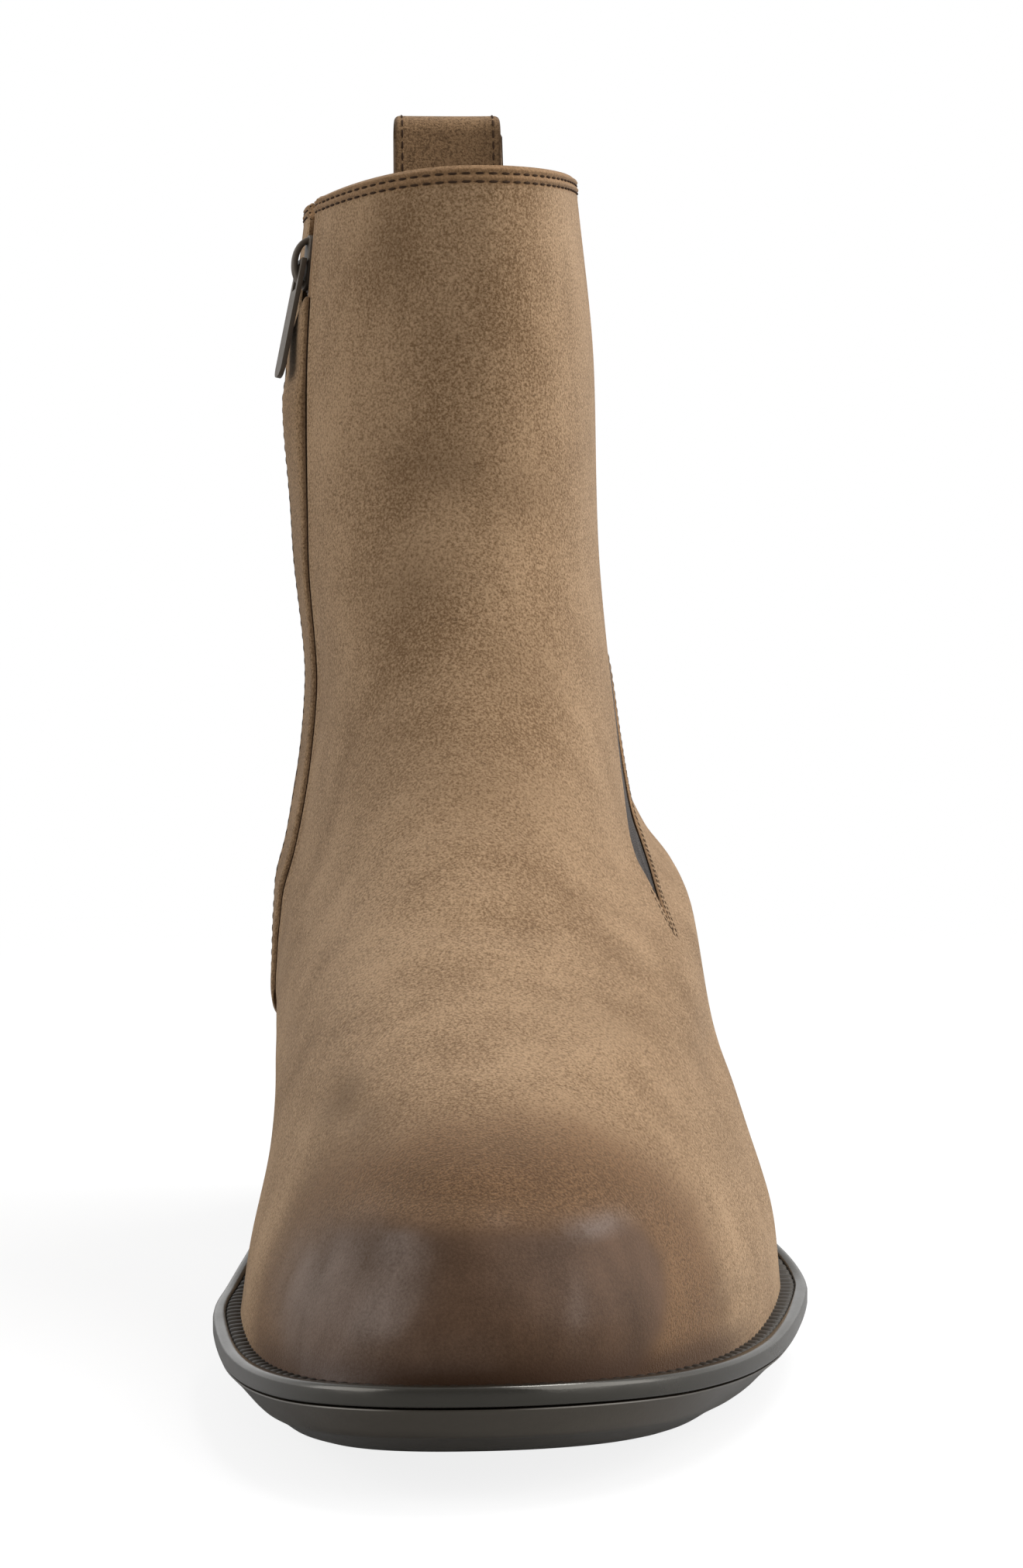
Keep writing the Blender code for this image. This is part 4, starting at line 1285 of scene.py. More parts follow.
    def lining(self) -> None:
        """Make the lining inside the skin."""
        u, t = np.meshgrid(np.linspace(0, 1, 161), np.linspace(0.0, 0.992, 80))
        points = self.last.off(u, t, -self.wall - self.lining_gap)
        points[:, -1] = points[:, 0]
        piece = Bench.sheet("lining", points)
        Bench.modify(piece, "SOLIDIFY", thickness=self.lining_thick, offset=-1.0)
        Bench.smooth(piece)
        Bench.finish(piece, LINING, Slot.INSOLE_LEATHER)


@dataclass
class Gore:
    """Ribbed elastic panel on the outer side, with the double row of stitches round it."""

    last: Last
    stitch: Stitch = Stitch(2.3 * MM, 1.8 * MM, 0.36 * MM)
    rows: int = 90
    columns: int = 160
    bottom: float = 0.403
    top: float = 0.993
    clear: float = 0.05 * MM
    depth: float = 0.85 * MM
    thick: float = 0.45 * MM
    rib: float = 1.4 * MM
    rib_height: float = 0.16 * MM
    stitch_rows: tuple[float, float] = (1.3 * MM, 3.3 * MM)
    stitch_t: tuple[float, float] = (0.982, 0.40)
    turn_t: tuple[float, float] = (0.385, 0.38)
    turn_u: float = 0.166
    turn_shift: float = 0.4 * MM
    front_share: float = 0.47
    sunk: tuple[float, float] = (0.17 * MM, 0.06 * MM)

    def build(self) -> None:
        """Make the panel and its stitches."""
        last = self.last
        t = np.linspace(self.bottom, self.top, self.rows)
        around = 2 * last.length(Side.OUTER, t)
        front = last.gore_edge(GoreEdge.FRONT, t, self.clear)
        back = last.gore_edge(GoreEdge.BACK, t, -self.clear)
        u = Upper.spread(front, back, self.columns)
        off_middle = (u - ((front + back) / 2)[:, None]) * around[:, None]
        height = self.rib_height * np.cos(off_middle / self.rib * math.tau) - self.depth
        piece = Bench.sheet("gore_panel", last.off(u, t[:, None], height))
        Bench.modify(piece, "SOLIDIFY", thickness=self.thick, offset=-1.0)
        Bench.smooth(piece)
        Bench.finish(piece, GORE_ELASTIC, Slot.ELASTIC, "elastic_gore")
        stitches = self.stitch.sew("gore_stitches", [self.around(drop) for drop in self.stitch_rows])
        Bench.finish(stitches, EDGE_THREAD, Slot.SUEDE)

    @staticmethod
    def rounded(line: np.ndarray) -> np.ndarray:
        """Cut the corners of a line of numbers, at a quarter and three quarters of each step."""
        cuts = [line[:-1] * (1 - share) + line[1:] * share for share in (0.25, 0.75)]
        return np.concatenate((line[:1], np.column_stack(cuts).ravel(), line[-1:]))

    def around(self, drop: float) -> Line:
        """Points and normals of a line that runs round the panel at a distance from its edges."""
        last = self.last
        level, turn = self.turn_t
        t = np.linspace(*self.stitch_t, self.rows)
        end_t = level - drop / float(last.rise(np.array(self.turn_u), np.array(turn)))
        end_u = float(last.gore_edge(GoreEdge.FRONT, turn, self.turn_shift))
        front, back = last.gore_edge(GoreEdge.FRONT, t, -drop), last.gore_edge(GoreEdge.BACK, t, drop)
        u = np.concatenate((front, [end_u], back[::-1]))
        t = np.concatenate((t, [end_t], t[::-1]))
        for _ in range(2):
            u, t = self.rounded(u), self.rounded(t)
        deep, shallow = self.sunk
        return last.line(u, t, -np.where(np.arange(len(u)) < self.front_share * len(u), deep, shallow))


def rounded_section(half_x: float, half_y: float, count: int = 16, power: float = 4.0) -> np.ndarray:
    """Closed outline of a bar with rounded corners, its last point on its first."""
    turn = np.linspace(0, math.tau, count + 1)
    return np.column_stack([half * np.sign(f) * abs(f) ** (2 / power)
                            for half, f in ((half_x, np.cos(turn)), (half_y, np.sin(turn)))])


def middle_of(ring: np.ndarray) -> np.ndarray:
    """Ring of the same length at the middle of a closed one."""
    return np.repeat(ring[:-1].mean(0, keepdims=True), len(ring), 0)


def closed_tube(name: str, sections: np.ndarray) -> bpy.types.Object:
    """Skin closed sections, rows by points by 3, and close both ends at their middles."""
    piece = Bench.sheet(name, np.array((middle_of(sections[0]), *sections, middle_of(sections[-1]))))
    Bench.turn_out(piece)
    return piece


@dataclass
class Zip:
    """Side zip: tape, coil, placket, slider and the tab that swings on it."""

    last: Last
    stitch: Stitch = Stitch(2.4 * MM, 1.7 * MM, 0.42 * MM)
    slit: tuple[float, float] = (4.0 * MM, 10.0 * MM)
    chain_t: tuple[float, float] = (0.203, 0.975)
    chain_depth: float = 1.2 * MM
    chain_ends: tuple[float, float] = (0.6 * MM, 0.4 * MM)
    tape_clear: float = 0.1 * MM
    tape_depth: float = 1.55 * MM
    tape_thick: float = 0.4 * MM
    tooth: tuple[float, float, float] = (2.5 * MM, 0.85 * MM, 0.75 * MM)
    tooth_bevel: float = 0.22 * MM
    tooth_pitch: float = 1.25 * MM
    tooth_shift: float = 0.75 * MM
    tooth_depth: float = 1.22 * MM
    placket: tuple[float, float] = (0.3 * MM, 15.6 * MM)
    placket_bottom: float = 0.18
    placket_round: float = 0.055
    placket_top: tuple[float, float] = (0.921, 0.893)
    placket_rise: float = 200.0 * MM
    placket_swell: float = 1.2 * MM
    swell_t: tuple[float, float, float] = (0.745, 0.838, 0.866)
    placket_tuck: float = 1.8 * MM
    placket_thick: float = 1.0 * MM
    placket_rows: int = 130
    placket_columns: int = 30
    stitch_row: float = 13.4 * MM
    stitch_lift: float = 1.22 * MM
    slider_t: float = 0.950
    slider_step: float = 0.02
    slider: tuple[float, float, float] = (5.2 * MM, 0.9 * MM, 10.5 * MM)
    slider_lift: float = -0.7 * MM
    bridge: tuple[float, float, float, float] = (2.2 * MM, 1.2 * MM, 1.9 * MM, 4.9 * MM)
    pivot_off_face: float = 0.75 * MM
    pull: tuple[float, float, float] = (6.4 * MM, 0.9 * MM, 23.0 * MM)
    pull_window: tuple[float, float] = (3.2 * MM, 5.6 * MM)
    pull_corner: float = 0.5 * MM
    pull_bevel: float = 0.18 * MM
    tip_power: float = 2.4
    pull_lean: float = math.radians(5.5)

    def build(self) -> None:
        """Make every piece of the zip."""
        self.tape()
        self.teeth()
        self.strip()
        self.slider_body()
        self.tab()

    def frame(self) -> Matrix:
        """Frame on the zip's face: X across it, Y out of the boot, Z up along it."""
        middle = sum(self.slit) / 2
        t = np.array(self.slider_t)
        u = self.last.past_seam(t, middle)
        out = Vector(self.last.normal(u, t))
        ends = t + np.array((-self.slider_step, self.slider_step))
        low, high = self.last.at(self.last.past_seam(ends, middle), ends)
        across = out.cross(Vector(high - low)).normalized()
        turn = Matrix((across, out, across.cross(out))).transposed().to_4x4()
        return Matrix.Translation(Vector(self.last.at(u, t))) @ turn

    def tape(self) -> None:
        """Woven tape behind the teeth."""
        t = np.linspace(*self.chain_t, 110)
        past = np.linspace(self.slit[0] + self.tape_clear, self.slit[1] - self.tape_clear, 13)
        u = np.stack([self.last.past_seam(t, p) for p in past], axis=1)[:, ::-1]
        piece = Bench.sheet("zip_tape", self.last.off(u, t[:, None], -self.tape_depth))
        Bench.modify(piece, "SOLIDIFY", thickness=self.tape_thick, offset=-1.0)
        Bench.smooth(piece)
        Bench.finish(piece, ZIP_TAPE, Slot.ZIP_TEETH)

    def teeth(self) -> None:
        """Two rows of interlocked coil turns, one shape copied along the zip."""
        last, middle = self.last, sum(self.slit) / 2
        t = np.linspace(*self.chain_t, 400)
        run = run_along(last.off(last.past_seam(t, middle), t, -self.chain_depth))
        start, stop = self.chain_ends
        at = np.interp(np.arange(start, run[-1] - stop, self.tooth_pitch / 2), run, t)
        shift = np.where(np.arange(len(at)) % 2, self.tooth_shift, -self.tooth_shift)
        u = last.past_seam(at, middle + shift)
        out = last.normal(u, at)
        along = unit(last.at(u, at + 0.002) - last.at(u, at - 0.002))
        tooth = Bench.block("tooth", self.tooth)
        Bench.modify(tooth, "BEVEL", width=self.tooth_bevel, segments=1, limit_method="NONE")
        axes = np.stack((unit(np.cross(out, along)), out, along), axis=1)
        piece = Bench.copies("zip_coil", tooth, last.off(u, at, -self.tooth_depth), axes)
        Bench.finish(piece, ZIP_TEETH, Slot.ZIP_TEETH, "zip_chain")

    def lifted(self, t: np.ndarray, across: np.ndarray | float) -> np.ndarray:
        """How far the placket stands off the boot below the tab's tip."""
        start, peak, stop = self.swell_t
        swell = step(t, start, peak) * (1 - step(t, peak, stop))
        return self.placket_swell * swell * np.sin(math.pi * across) ** 0.6

    @staticmethod
    def quarter_round(f: np.ndarray) -> np.ndarray:
        """Height of a quarter circle that rises from 0 to 1."""
        return np.sqrt(1 - (1 - np.clip(f, 0, 1)) ** 2)

    def strip(self) -> None:
        """Suede strip over the zip with a rounded lower end and a curved cut at its top."""
        last, (front, back), (top_front, top_back) = self.last, self.placket, self.placket_top
        across = np.linspace(0, 1, self.placket_columns + 1)
        across = across - 0.10 * np.sin(math.tau * across)
        low = self.placket_bottom + self.placket_round * (1 - self.quarter_round(1 - abs(2 * across - 1)))
        high = top_front + (top_back - top_front) * step(across, 0.0, 0.8)
        t = low + (high - low) * np.linspace(0, 1, self.placket_rows + 1)[:, None]
        past = np.broadcast_to(front + (back - front) * across, t.shape)
        to_end = np.minimum(t - low, high - t) * self.placket_rise
        to_edge = np.minimum.reduce((past - front, back - past, to_end)) / MM
        height = MM * np.minimum(0.95 + 0.35 * self.quarter_round(to_edge / 0.6),
                                 0.45 + 0.85 * self.quarter_round((past - front) / self.placket_tuck))
        height += self.lifted(t, across) - 0.14 * MM * hump(past - front, self.stitch_row, 0.4 * MM)
        edge = 0.7 * (1 - step(to_edge, 0.05, 0.5))
        points = last.off(last.past_seam(t, past), t, height)
        piece = Bench.sheet("zip_placket_strip", points[:, ::-1], {"edge": edge[:, ::-1]})
        Bench.modify(piece, "SOLIDIFY", thickness=self.placket_thick, offset=-1.0)
        Bench.smooth(piece, 60.0)
        Bench.finish(piece, PLACKET_SUEDE, Slot.DARK_SUEDE, "zip_placket")
        t = np.linspace(self.placket_bottom + 0.05, top_back - 0.01, 160)
        lift = self.stitch_lift + self.lifted(t, self.stitch_row / (back - front))
        line = last.line(last.past_seam(t, front + self.stitch_row), t, lift)
        Bench.finish(self.stitch.sew("placket_stitches", [line]), SEAM_THREAD, Slot.DARK_SUEDE)

    def slider_body(self) -> None:
        """Slider plate with rounded sides, and the arched bridge over it."""
        width, thick, length = self.slider
        z = np.linspace(-1, 1, 25)
        taper = np.sqrt(np.clip(1 - np.clip((abs(z) - 0.72) / 0.28, 0, 1) ** 2, 0.10, 1))
        halves = width / 2 * taper * (1 - 0.16 * step(-z, -0.1, 0.9))
        middle = self.slider_lift + thick / 2
        rows = [[(x, y + middle, at) for x, y in rounded_section(half, thick / 2, 24, 5.0)]
                for at, half in zip(z * length / 2, halves)]
        plate = closed_tube("zip_slider_body", np.array(rows))
        bridge_width, bar, rise, reach = self.bridge
        foot = -self.pivot_off_face - thick / 2
        tall, far = rise - bar / 2 - foot, reach - bar / 2
        arch = []
        for angle in np.linspace(-math.pi / 2, math.pi / 2, 33):
            c, s = math.cos(angle), math.sin(angle)
            out = Vector((far * c, tall * s)).normalized()
            section = rounded_section(bridge_width / 2 * (1 + 0.35 * s ** 2), bar / 2, 16, 3.0)
            arch.append([(x, middle + tall * c + out.x * h, far * s + out.y * h) for x, h in section])
        piece = Bench.join(plate, closed_tube("zip_bridge", np.array(arch)))
        Bench.put(piece, self.frame())
        Bench.smooth(piece, 50.0)
        Bench.finish(piece, ZIP_METAL, Slot.ZIP_METAL, "zip_slider")

    def tab(self) -> None:
        """Flat tab with a window at its crossbar and a rounded tip."""
        width, thick, length = self.pull
        window_width, window_reach = self.pull_window
        half_bar, tip = thick / 2, width / 2 * 0.8
        nose = half_bar - length + tip
        bends = np.linspace(0, 1, 10)
        z = np.unique(np.concatenate((
            half_bar - self.pull_corner * bends[:4], np.linspace(-half_bar, -window_reach, 9),
            np.linspace(-window_reach, nose, 16)[1:], nose - tip * np.sin(bends * math.pi / 2)[1:])))[::-1]
        end = (1 - np.clip((nose - z) / tip, 0, 1) ** self.tip_power) ** (1 / self.tip_power)
        corner = np.clip((z - half_bar) / self.pull_corner + 1, 0, 1)
        half = np.where(z < nose, np.maximum(width / 2 * end, 0.6 * MM), width / 2 - 0.25 * MM * corner ** 2)
        inner = np.minimum(window_width / 2, half * 0.5)
        sides = half[:, None] - (half - inner)[:, None] * np.linspace(0, 1, 7)[:-1]
        x = np.hstack((-sides, inner[:, None] * np.linspace(-1, 1, 5), sides[:, ::-1]))
        points = np.stack((x, np.zeros_like(x), np.broadcast_to(z[:, None], x.shape)), axis=-1)
        holes = np.zeros((len(z) - 1, x.shape[1] - 1), bool)
        middle_z = (z[1:] + z[:-1]) / 2
        holes[np.ix_((middle_z < -half_bar) & (middle_z > -window_reach), range(6, 10))] = True
        piece = Bench.sheet("zip_tab", points, None, holes)
        Bench.modify(piece, "SOLIDIFY", thickness=thick, offset=0.0, use_even_offset=True)
        Bench.turn_out(piece)
        Bench.modify(piece, "BEVEL", width=self.pull_bevel, segments=2, limit_method="ANGLE",
                     angle_limit=math.radians(50))
        pivot = Matrix.Translation((0, self.slider_lift + self.slider[1] + self.pivot_off_face, 0))
        Bench.put(piece, self.frame() @ pivot @ Matrix.Rotation(self.pull_lean, 4, "X"))
        Bench.smooth(piece, 45.0)
        Bench.finish(piece, ZIP_METAL, Slot.ZIP_METAL, "zip_pull", body=Body.PULL_TAB)


@dataclass
class PullLoop:
    """Strap folded over the back of the collar, its sizes in millimetres."""

    last: Last
    stitch: Stitch = Stitch(2.3 * MM, 1.7 * MM, 0.42 * MM)
    width: float = 21.4
    thick: float = 1.5
    wall: float = 2.0
    top_z: float = 222.0
    half_fold: float = 2.7
    outer_t: float = 0.88
    inner_t: float = 0.93
    flatten: float = 0.5
    corner: float = 1.1
    columns: int = 36
    leg_rows: int = 14
    fold_rows: int = 23
    bevel: float = 0.3
    stitch_inset: float = 1.5
    stitch_lift: float = 0.05

    def back(self, x: float, t: float) -> tuple[float, float]:
        """Place, y and z in millimetres, of the upper's back across the boot."""
        side = Side.OUTER if x >= float(column(PROFILE, "back_x", t)) else Side.INNER
        tail = self.last.ring_side(side, t)[self.last.samples // 2:]
        order = np.argsort(tail[:, 0])
        return tuple(float(np.interp(x, tail[order, 0], tail[order, k])) for k in (1, 2))

    def path(self, x: float, out: float) -> np.ndarray:
        """Line of the strap at a place across it, at a distance out from its inner face."""
        centre = float(column(PROFILE, "back_x", 1.0))
        inside = self.wall / 2 + self.half_fold - self.thick
        reach = inside + out
        off_corner = max(0.0, abs(x - centre) - (self.width / 2 - self.corner))
        drop = self.corner - math.sqrt(max(0.0, self.corner ** 2 - off_corner ** 2))
        top = self.top_z - inside - self.thick
        edge_y, middle_y = self.back(x, 1.0)[0], self.back(centre, 1.0)[0]
        fold_y = edge_y + (middle_y - edge_y) * self.flatten - self.wall / 2
        legs = []
        for ends, off in (((self.outer_t, 1), reach), ((1, self.inner_t), -reach)):
            spots = [self.back(x, t) for t in np.linspace(*ends, self.leg_rows)]
            legs.append([(x, y - self.wall / 2 + off, z) for y, z in spots])
        fold = [(x, fold_y + reach * math.cos(bend), top + reach * math.sin(bend) - drop)
                for bend in np.linspace(0, math.pi, self.fold_rows)]
        return np.array((*legs[0], *fold, *legs[1])) * MM

    def build(self) -> None:
        """Make the strap and its stitches."""
        centre = float(column(PROFILE, "back_x", 1.0))
        spots = np.sin(np.linspace(-math.pi / 2, math.pi / 2, self.columns + 1)) / 2 * self.width
        points = np.stack([self.path(centre + spot, self.thick) for spot in spots[::-1]], axis=1)
        inset = np.broadcast_to(self.width / 2 - abs(spots[::-1]), points.shape[:2])
        piece = Bench.sheet("pull_loop_strap", points, {"edge": 0.7 * (1 - step(inset, 0.2, 0.9))})
        Bench.modify(piece, "SOLIDIFY", thickness=self.thick * MM, offset=-1.0)
        Bench.modify(piece, "BEVEL", width=self.bevel * MM, segments=3, limit_method="ANGLE",
                     angle_limit=math.radians(60))
        Bench.smooth(piece, 50.0)
        Bench.finish(piece, DARK_SUEDE, Slot.DARK_SUEDE, "pull_loop")
        lines = []
        for sign in (-1, 1):
            x = centre + sign * (self.width / 2 - self.stitch_inset)
            line = self.path(x, self.thick + self.stitch_lift)
            lines.append((line, unit(line - self.path(x, 0.0))))
        Bench.finish(self.stitch.sew("loop_stitches", lines), SEAM_THREAD, Slot.DARK_SUEDE)


class EdgeRow(NamedTuple):
    """One row of the outsole's edge: inset at each place, and how far down its bevel it lies."""

    toe: float
    outer: float
    inner: float
    heel: float
    down: float


Heights = Callable[[np.ndarray], np.ndarray]
# Distance in from the welt's rim and height over its top, in millimetres.
WELT_SECTION = (
    (9.0, 0.0), (6.9, 0.0), (6.7, -0.8), (2.3, -0.8), (2.15, -0.15), (1.95, 0.0), (1.0, -0.02),
    (0.45, -0.16), (0.12, -0.48), (0.0, -0.95), (0.0, -1.9), (0.0, -2.9), (0.08, -3.16), (0.28, -3.3),
    (9.0, -3.3), (9.0, 0.0),
)
CORD_SECTION = (
    (2.25, -0.75), (2.3, -0.30), (2.55, -0.12), (3.1, -0.05), (3.9, -0.05), (4.6, -0.08), (5.6, -0.10),
    (5.7, -0.75), (2.25, -0.75),
)
# How far down the heel a row lies, from 0 to 1, and its extra inset in millimetres.
HEEL_SHAPE = (
    (0.0, 0.9), (0.0, 0.35), (0.006, 0.0), (0.35, 0.0), (0.70, 0.0), (0.835, 0.0), (0.845, 0.35),
    (0.862, 0.35), (0.872, 0.0), (0.965, 0.0), (0.99, 0.25), (1.0, 0.8),
)


@dataclass
class Sole:
    """Welt with its ribbed cord, outsole, heel block and insole, their sizes in millimetres."""

    last: Last
    margin_side: float = 4.8
    margin_toe: float = 3.5
    margin_heel: float = 3.0
    welt_thick: float = 3.3
    gap: float = 0.3
    stations: int = 300
    forepart_at: float = 0.18
    side_height: float = 4.4
    edge_inset: float = 0.4
    edge_rows: tuple[EdgeRow, ...] = (EdgeRow(1.6, 5.6, 4.4, 0.4, 0.0), EdgeRow(4.0, 9.4, 7.4, 0.4, 0.40),
                                      EdgeRow(6.2, 12.6, 9.8, 0.6, 0.78), EdgeRow(8.8, 15.6, 12.4, 1.2, 1.0))
    groove_pitch: float = 7.5
    groove_depth: float = 0.9
    cord_stations: int = 900
    rib: float = 2.8
    rib_shape: tuple[float, ...] = (0.0, 0.0, 0.55, 0.92, 1.0, 1.0, 0.92, 0.55)
    rib_depth: float = 0.42
    breast_y: float = 66.0
    heel_inset: float = 1.4
    heel_taper: float = 2.5
    insole_inset: float = 8.2
    insole_thick: float = 2.6

    def build(self) -> None:
        """Make every piece of the sole."""
        self.welt()
        self.cord()
        self.outsole()
        self.heel()
        self.insole()

    @staticmethod
    def over_welt(up: float) -> Heights:
        """Heights at a distance over the welt's upper face."""
        return lambda y: column(SOLE_LINE, "welt_top", y) + up

    @staticmethod
    def bottom(y: np.ndarray) -> np.ndarray:
        """Height of the outsole's lower face."""
        return column(SOLE_LINE, "bottom", y)

    def ring(self, edge: EdgeRow | float, height: Heights, stations: int | None = None) -> np.ndarray:
        """Closed outline of the sole.

        Args:
            edge: distance in from the welt's rim, in millimetres, one for all or one for each place.
            height: height of the outline at each y.
            stations: number of steps along the foot.

        Returns:
            Points in millimetres, by the outer side to the heel and back, the last on the first.
        """
        last = self.last
        if not isinstance(edge, EdgeRow):
            edge = EdgeRow(edge, edge, edge, edge, 0.0)
        s = eased((stations or self.stations) + 1)
        axis = last.ring_axis(s, 0.0)
        front = axis[0, 1] - self.margin_toe + edge.toe
        back = axis[-1, 1] + self.margin_heel - edge.heel
        y = front + s * (back - front)
        sides = []
        for side, sign, pull in ((Side.OUTER, 1, edge.outer), (Side.INNER, -1, edge.inner)):
            pulled = smooth_curve(s, (0, self.forepart_at, last.waist_at, last.heel_at, 1),
                                  (edge.toe, pull, pull, edge.heel, edge.heel))
            x = axis[:, 0] + sign * last.half_width(side, s, 0.0, self.margin_side - pulled)
            sides.append(np.column_stack((x, y, height(y))))
        return np.concatenate((sides[0], sides[1][-2::-1]))

    @staticmethod
    def to_middle(ring: np.ndarray, share: float) -> np.ndarray:
        """Outline drawn in towards the line half way between its two sides."""
        count = (len(ring) - 1) // 2
        middle = (ring[:count + 1] + ring[:count - 1:-1]) / 2
        middle = np.concatenate((middle, middle[-2::-1]))
        return ring + (middle - ring) * share

    @staticmethod
    def solid(name: str, rows: Sequence[np.ndarray]) -> bpy.types.Object:
        """Closed piece through outlines in millimetres."""
        piece = Bench.sheet(name, np.array(rows) * MM)
        Bench.turn_out(piece)
        return piece

    def welt(self) -> None:
        """Rim strip with a rounded edge and a channel for the cord."""
        piece = self.solid("welt_rim", [self.ring(inset, self.over_welt(up)) for inset, up in WELT_SECTION])
        Bench.smooth(piece, 50.0)
        Bench.finish(piece, WELT_RUBBER, Slot.WELT_RUBBER, "welt")

    def cord(self) -> None:
        """Dark strip with ridges across it, in the channel between the rim and the upper."""
        rows = [self.ring(inset, self.over_welt(up), self.cord_stations) for inset, up in CORD_SECTION]
        run = run_along(rows[3])
        shape = np.array(self.rib_shape)
        places = np.linspace(0, run[-1], int(run[-1] / self.rib) * len(shape) + 1)
        groove = self.rib_depth * (1 - shape[np.arange(len(places)) % len(shape)])
        dense = []
        for row, (_, up) in zip(rows, CORD_SECTION):
            line = read_along(places, run, row)
            line[:, 2] -= groove * (up > -0.5)
            dense.append(line)
        piece = self.solid("welt_cord", dense)
        Bench.smooth(piece, 70.0)
        Bench.finish(piece, CORD_RUBBER, Slot.WELT_RUBBER)

    def outsole(self) -> None:
        """Moulded sole with an upright side, a bevelled lower edge and shallow grooves across its tread."""
        top, inset = -self.welt_thick - self.gap, self.edge_inset
        rows = [self.ring(place, self.over_welt(top - drop))
                for place, drop in ((0.72, 0.0), (0.48, 0.08), (inset, 0.28))]
        rows = [self.to_middle(rows[0], share) for share in (1.0, 0.5)] + rows
        for f in (0.4, 0.75, 0.93):
            edge = EdgeRow(*(inset + (place - inset) * f for place in self.edge_rows[0][:4]), 0.0)
            rows.append(self.ring(edge, self.over_welt(top - self.side_height * f)))
        side = self.over_welt(top - self.side_height)
        places = np.arange(len(self.edge_rows))
        for at in np.linspace(0.06, len(places) - 1, 14):
            edge = EdgeRow(*(float(smooth_curve(at, places, insets)) for insets in zip(*self.edge_rows)))
            row = self.ring(edge, side)
            row[:, 2] += (self.bottom(row[:, 1]) - row[:, 2]) * edge.down
            rows.append(row)
        tread = rows[-1]
        for share in (0.04, 0.10, 0.16, 0.4, 0.7, 1.0):
            row = self.to_middle(tread, share)
            y = row[:, 1]
            grooved = step(y, -112, -104) * (1 - step(y, -22, -14)) * (share > 0.12)
            wave = np.cos(y / self.groove_pitch * math.tau)
            row[:, 2] += self.groove_depth * grooved * step(wave, 0.35, 0.75)
            rows.append(row)
        piece = self.solid("outsole_body", rows)
        Bench.smooth(piece, 32.0)
        Bench.finish(piece, SOLE_RUBBER, Slot.SOLE_RUBBER, "outsole")

    def heel_loop(self, inset: float) -> np.ndarray:
        """D-shaped outline of the heel on the floor, its last point on its first."""
        flat = self.ring(inset, lambda y: 0 * y)
        count = (len(flat) - 1) // 2
        outer, inner = flat[:count + 1], flat[:count - 1:-1]
        breast = self.breast_y + (inset - self.heel_inset)
        y = breast + (outer[-1, 1] - breast) * (1 - (1 - np.linspace(0, 1, 81)) ** 2)
        sides = [np.column_stack((np.interp(y, line[:, 1], line[:, 0]), y)) for line in (outer, inner)]
        front = sides[1][0] + (sides[0][0] - sides[1][0]) * eased(41)[1:, None]
        loop = np.concatenate((sides[0], sides[1][-2::-1], front))
        return np.column_stack((loop, np.zeros(len(loop))))

    def heel(self) -> None:
        """Block with rounded edges, its top piece marked by a thin groove."""
        rows = []
        for down, extra in HEEL_SHAPE:
            loop = self.heel_loop(self.heel_inset + self.heel_taper * down + extra)
            loop[:, 2] = (self.bottom(loop[:, 1]) - self.gap) * (1 - down)
            rows.append(loop)
        seat = middle_of(rows[0])
        seat[:, 2] = self.bottom(seat[:, 1]) - self.gap
        piece = self.solid("heel_block", [seat, *rows, middle_of(rows[-1])])
        Bench.smooth(piece, 35.0)
        Bench.finish(piece, SOLE_RUBBER, Slot.SOLE_RUBBER, "heel")

    def insole(self) -> None:
        """Footbed with a rounded edge."""
        top = self.gap + self.insole_thick
        shape = ((1.2, top), (0.4, top - 0.25), (0.0, top - 0.9), (0.0, self.gap))
        rows = [self.ring(self.insole_inset + inset, self.over_welt(up)) for inset, up in shape]
        lid = [self.to_middle(rows[0], share) for share in (1.0, 0.6, 0.25)]
        base = [self.to_middle(rows[-1], share) for share in (0.5, 1.0)]
        piece = self.solid("insole_board", lid + rows + base)
        Bench.smooth(piece, 45.0)
        Bench.finish(piece, INSOLE, Slot.INSOLE_LEATHER, "insole")


# Studio

@dataclass(frozen=True)
class Softbox:
    """Large soft light aimed at the boot."""

    name: str
    place: Point
    size: tuple[float, float]
    power: float
    aim: Point = (0.0, -0.02, 0.09)

    def light(self) -> None:
        """Hang the light."""
        lamp = bpy.data.lights.new(self.name, "AREA")
        lamp.shape, lamp.size, lamp.size_y = "RECTANGLE", *self.size
        lamp.energy = self.power
        holder = Bench.hang(self.name, lamp)
        holder.location = self.place
        way = Vector(self.aim) - Vector(self.place)
        holder.rotation_euler = way.to_track_quat("-Z", "Y").to_euler()


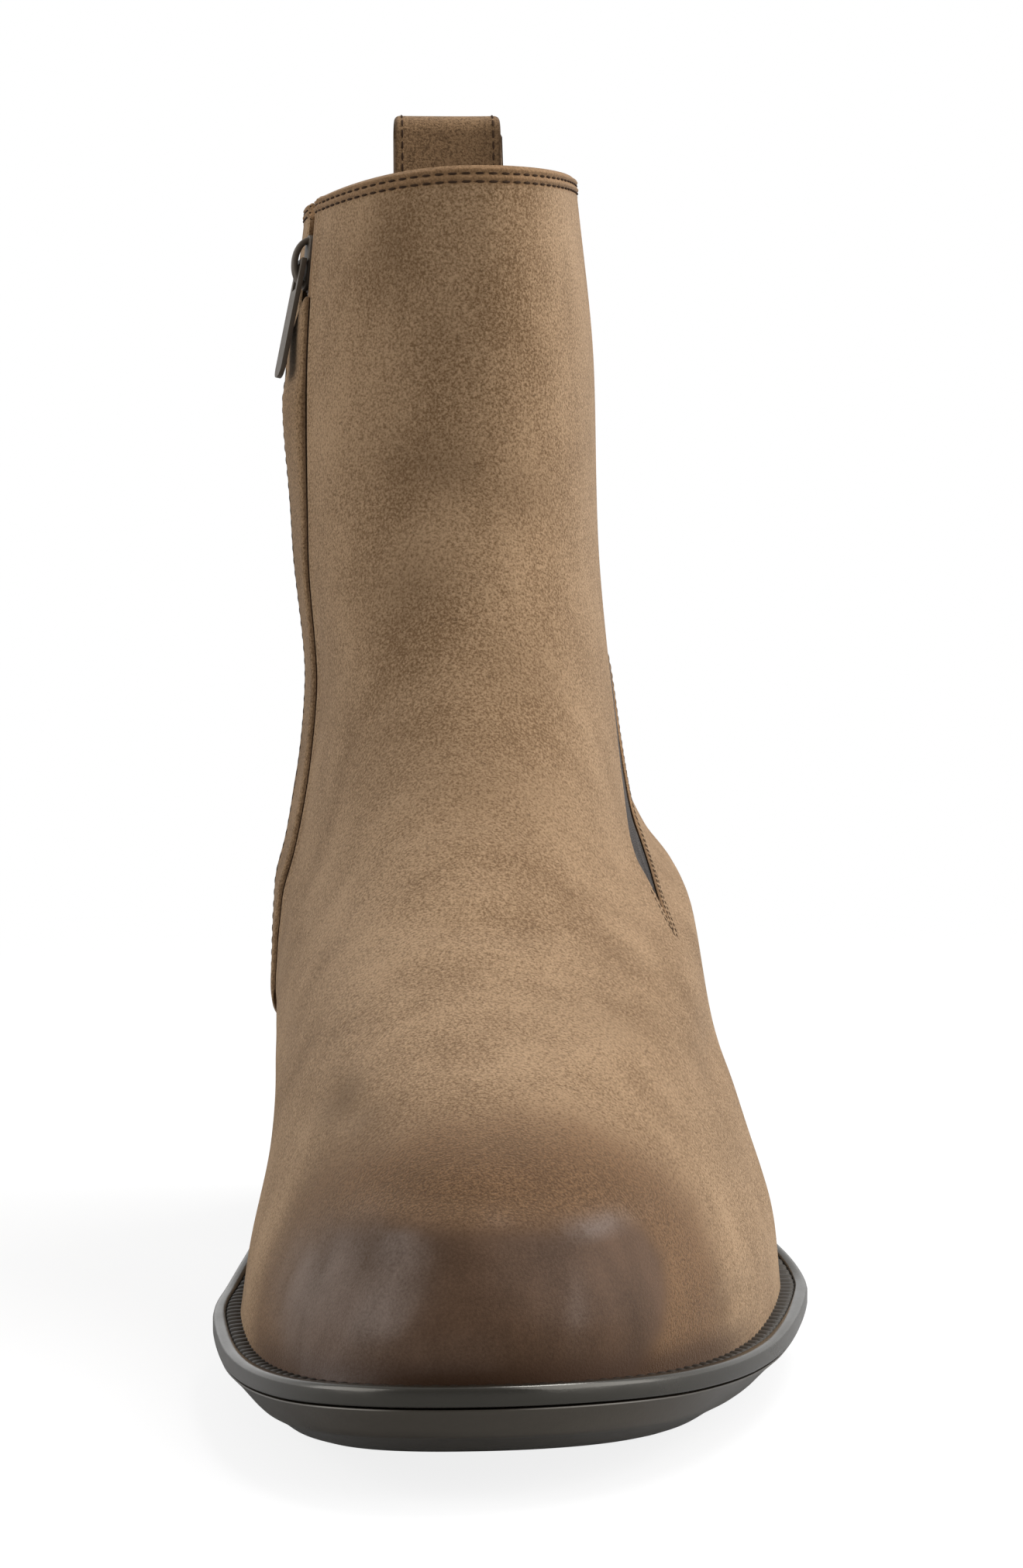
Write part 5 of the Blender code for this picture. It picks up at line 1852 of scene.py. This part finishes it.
@dataclass(frozen=True)
class Studio:
    """White sweep, softboxes and the camera."""

    turn: float = math.radians(4.5)
    tilt: float = math.radians(5.33)
    distance: float = 0.785
    height: float = 0.170
    beside: float = 0.002
    sensor: float = 36.0
    focal_pixels: float = 5698.0
    picture_pixels: float = 2024.0
    clip_start: float = 0.01
    floor_size: float = 24.0
    floor: tuple[Colour, Colour] = ((0.90, 0.90, 0.90), (0.94, 0.94, 0.94))
    fill: tuple[float, float, float] = (0.34, 0.70, 0.45)
    floor_bounce: Colour = (0.34, 0.34, 0.34)
    boxes: tuple[Softbox, ...] = (
        Softbox("left_box", (-0.90, -0.10, 0.38), (0.85, 0.75), 4.8),
        Softbox("right_box", (1.04, -0.43, 0.62), (1.40, 1.50), 19.2),
        Softbox("top_box", (0.36, 0.16, 0.95), (0.45, 0.40), 6.6),
    )

    def build(self) -> None:
        """Set up floor, world, lights and camera."""
        self.sweep()
        self.world()
        for box in self.boxes:
            box.light()
        self.camera()
        bpy.context.scene.view_settings.view_transform = "Standard"

    def sweep(self) -> None:
        """Pale floor that runs out into white."""
        Bench.clear()
        bpy.ops.mesh.primitive_plane_add(size=self.floor_size)
        piece = Bench.added("studio_floor")
        graph = Graph.named("studio_floor")
        place = graph.place()
        away = graph.node("ShaderNodeVectorMath", {"operation": "LENGTH"}, {0: place}, "Value")
        seen = graph.node("ShaderNodeLightPath", output="Is Camera Ray")
        paper = graph.mix(graph.noise(place, 0.02, 2.0), *self.floor)
        near = graph.node("ShaderNodeBsdfPrincipled", None, {
            "Base Color": graph.mix(seen, self.floor_bounce, paper), "Roughness": 0.8})
        white = graph.node("ShaderNodeEmission", None, {"Color": WHITE, "Strength": 1.0})
        blend = graph.node("ShaderNodeMixShader", None, {
            0: seen * (away.ramp(0.15, 0.60) * 0.16 + 0.84), 1: near, 2: white})
        piece.data.materials.append(graph.end(blend))

    def world(self) -> None:
        """White cove at the sides and back, dark behind the camera, and white to the camera itself."""
        bpy.context.scene.world = bpy.data.worlds.new("studio")
        graph = Graph(bpy.context.scene.world)
        way = graph.node("ShaderNodeTexCoord", output="Generated")
        back = graph.node("ShaderNodeSeparateXYZ", None, {0: way}, 1)
        front, side, high = self.fill
        glow = back.ramp(-0.75, 0.05) * (side - back.beside(2).ramp(0.15, 0.75) * high) + front
        seen = graph.node("ShaderNodeLightPath", output="Is Camera Ray")
        light = graph.node("ShaderNodeBackground", None, {
            "Color": WHITE, "Strength": seen + (1.0 - seen) * glow})
        graph.end(light, "ShaderNodeOutputWorld")

    def camera(self) -> None:
        """Camera at the photograph's angle."""
        lens = bpy.data.cameras.new("camera")
        lens.sensor_fit = "AUTO"
        lens.sensor_width = self.sensor
        lens.lens = self.sensor * self.focal_pixels / self.picture_pixels
        lens.clip_start = self.clip_start
        holder = Bench.hang("camera", lens)
        level = Vector((math.sin(self.turn), math.cos(self.turn), 0.0))
        holder.location = Vector((self.beside, 0, self.height)) - self.distance * level
        ahead = level * math.cos(self.tilt) - Vector((0, 0, math.sin(self.tilt)))
        holder.rotation_euler = ahead.to_track_quat("-Z", "Y").to_euler()
        bpy.context.scene.camera = holder


def main() -> None:
    """Build the boot and its studio."""
    logging.basicConfig(level=logging.INFO, format="%(name)s %(message)s")
    last = Last()
    for part in (Upper(last), Gore(last), Zip(last), PullLoop(last), Sole(last)):
        part.build()
    Studio().build()


if __name__ == "__main__":
    main()
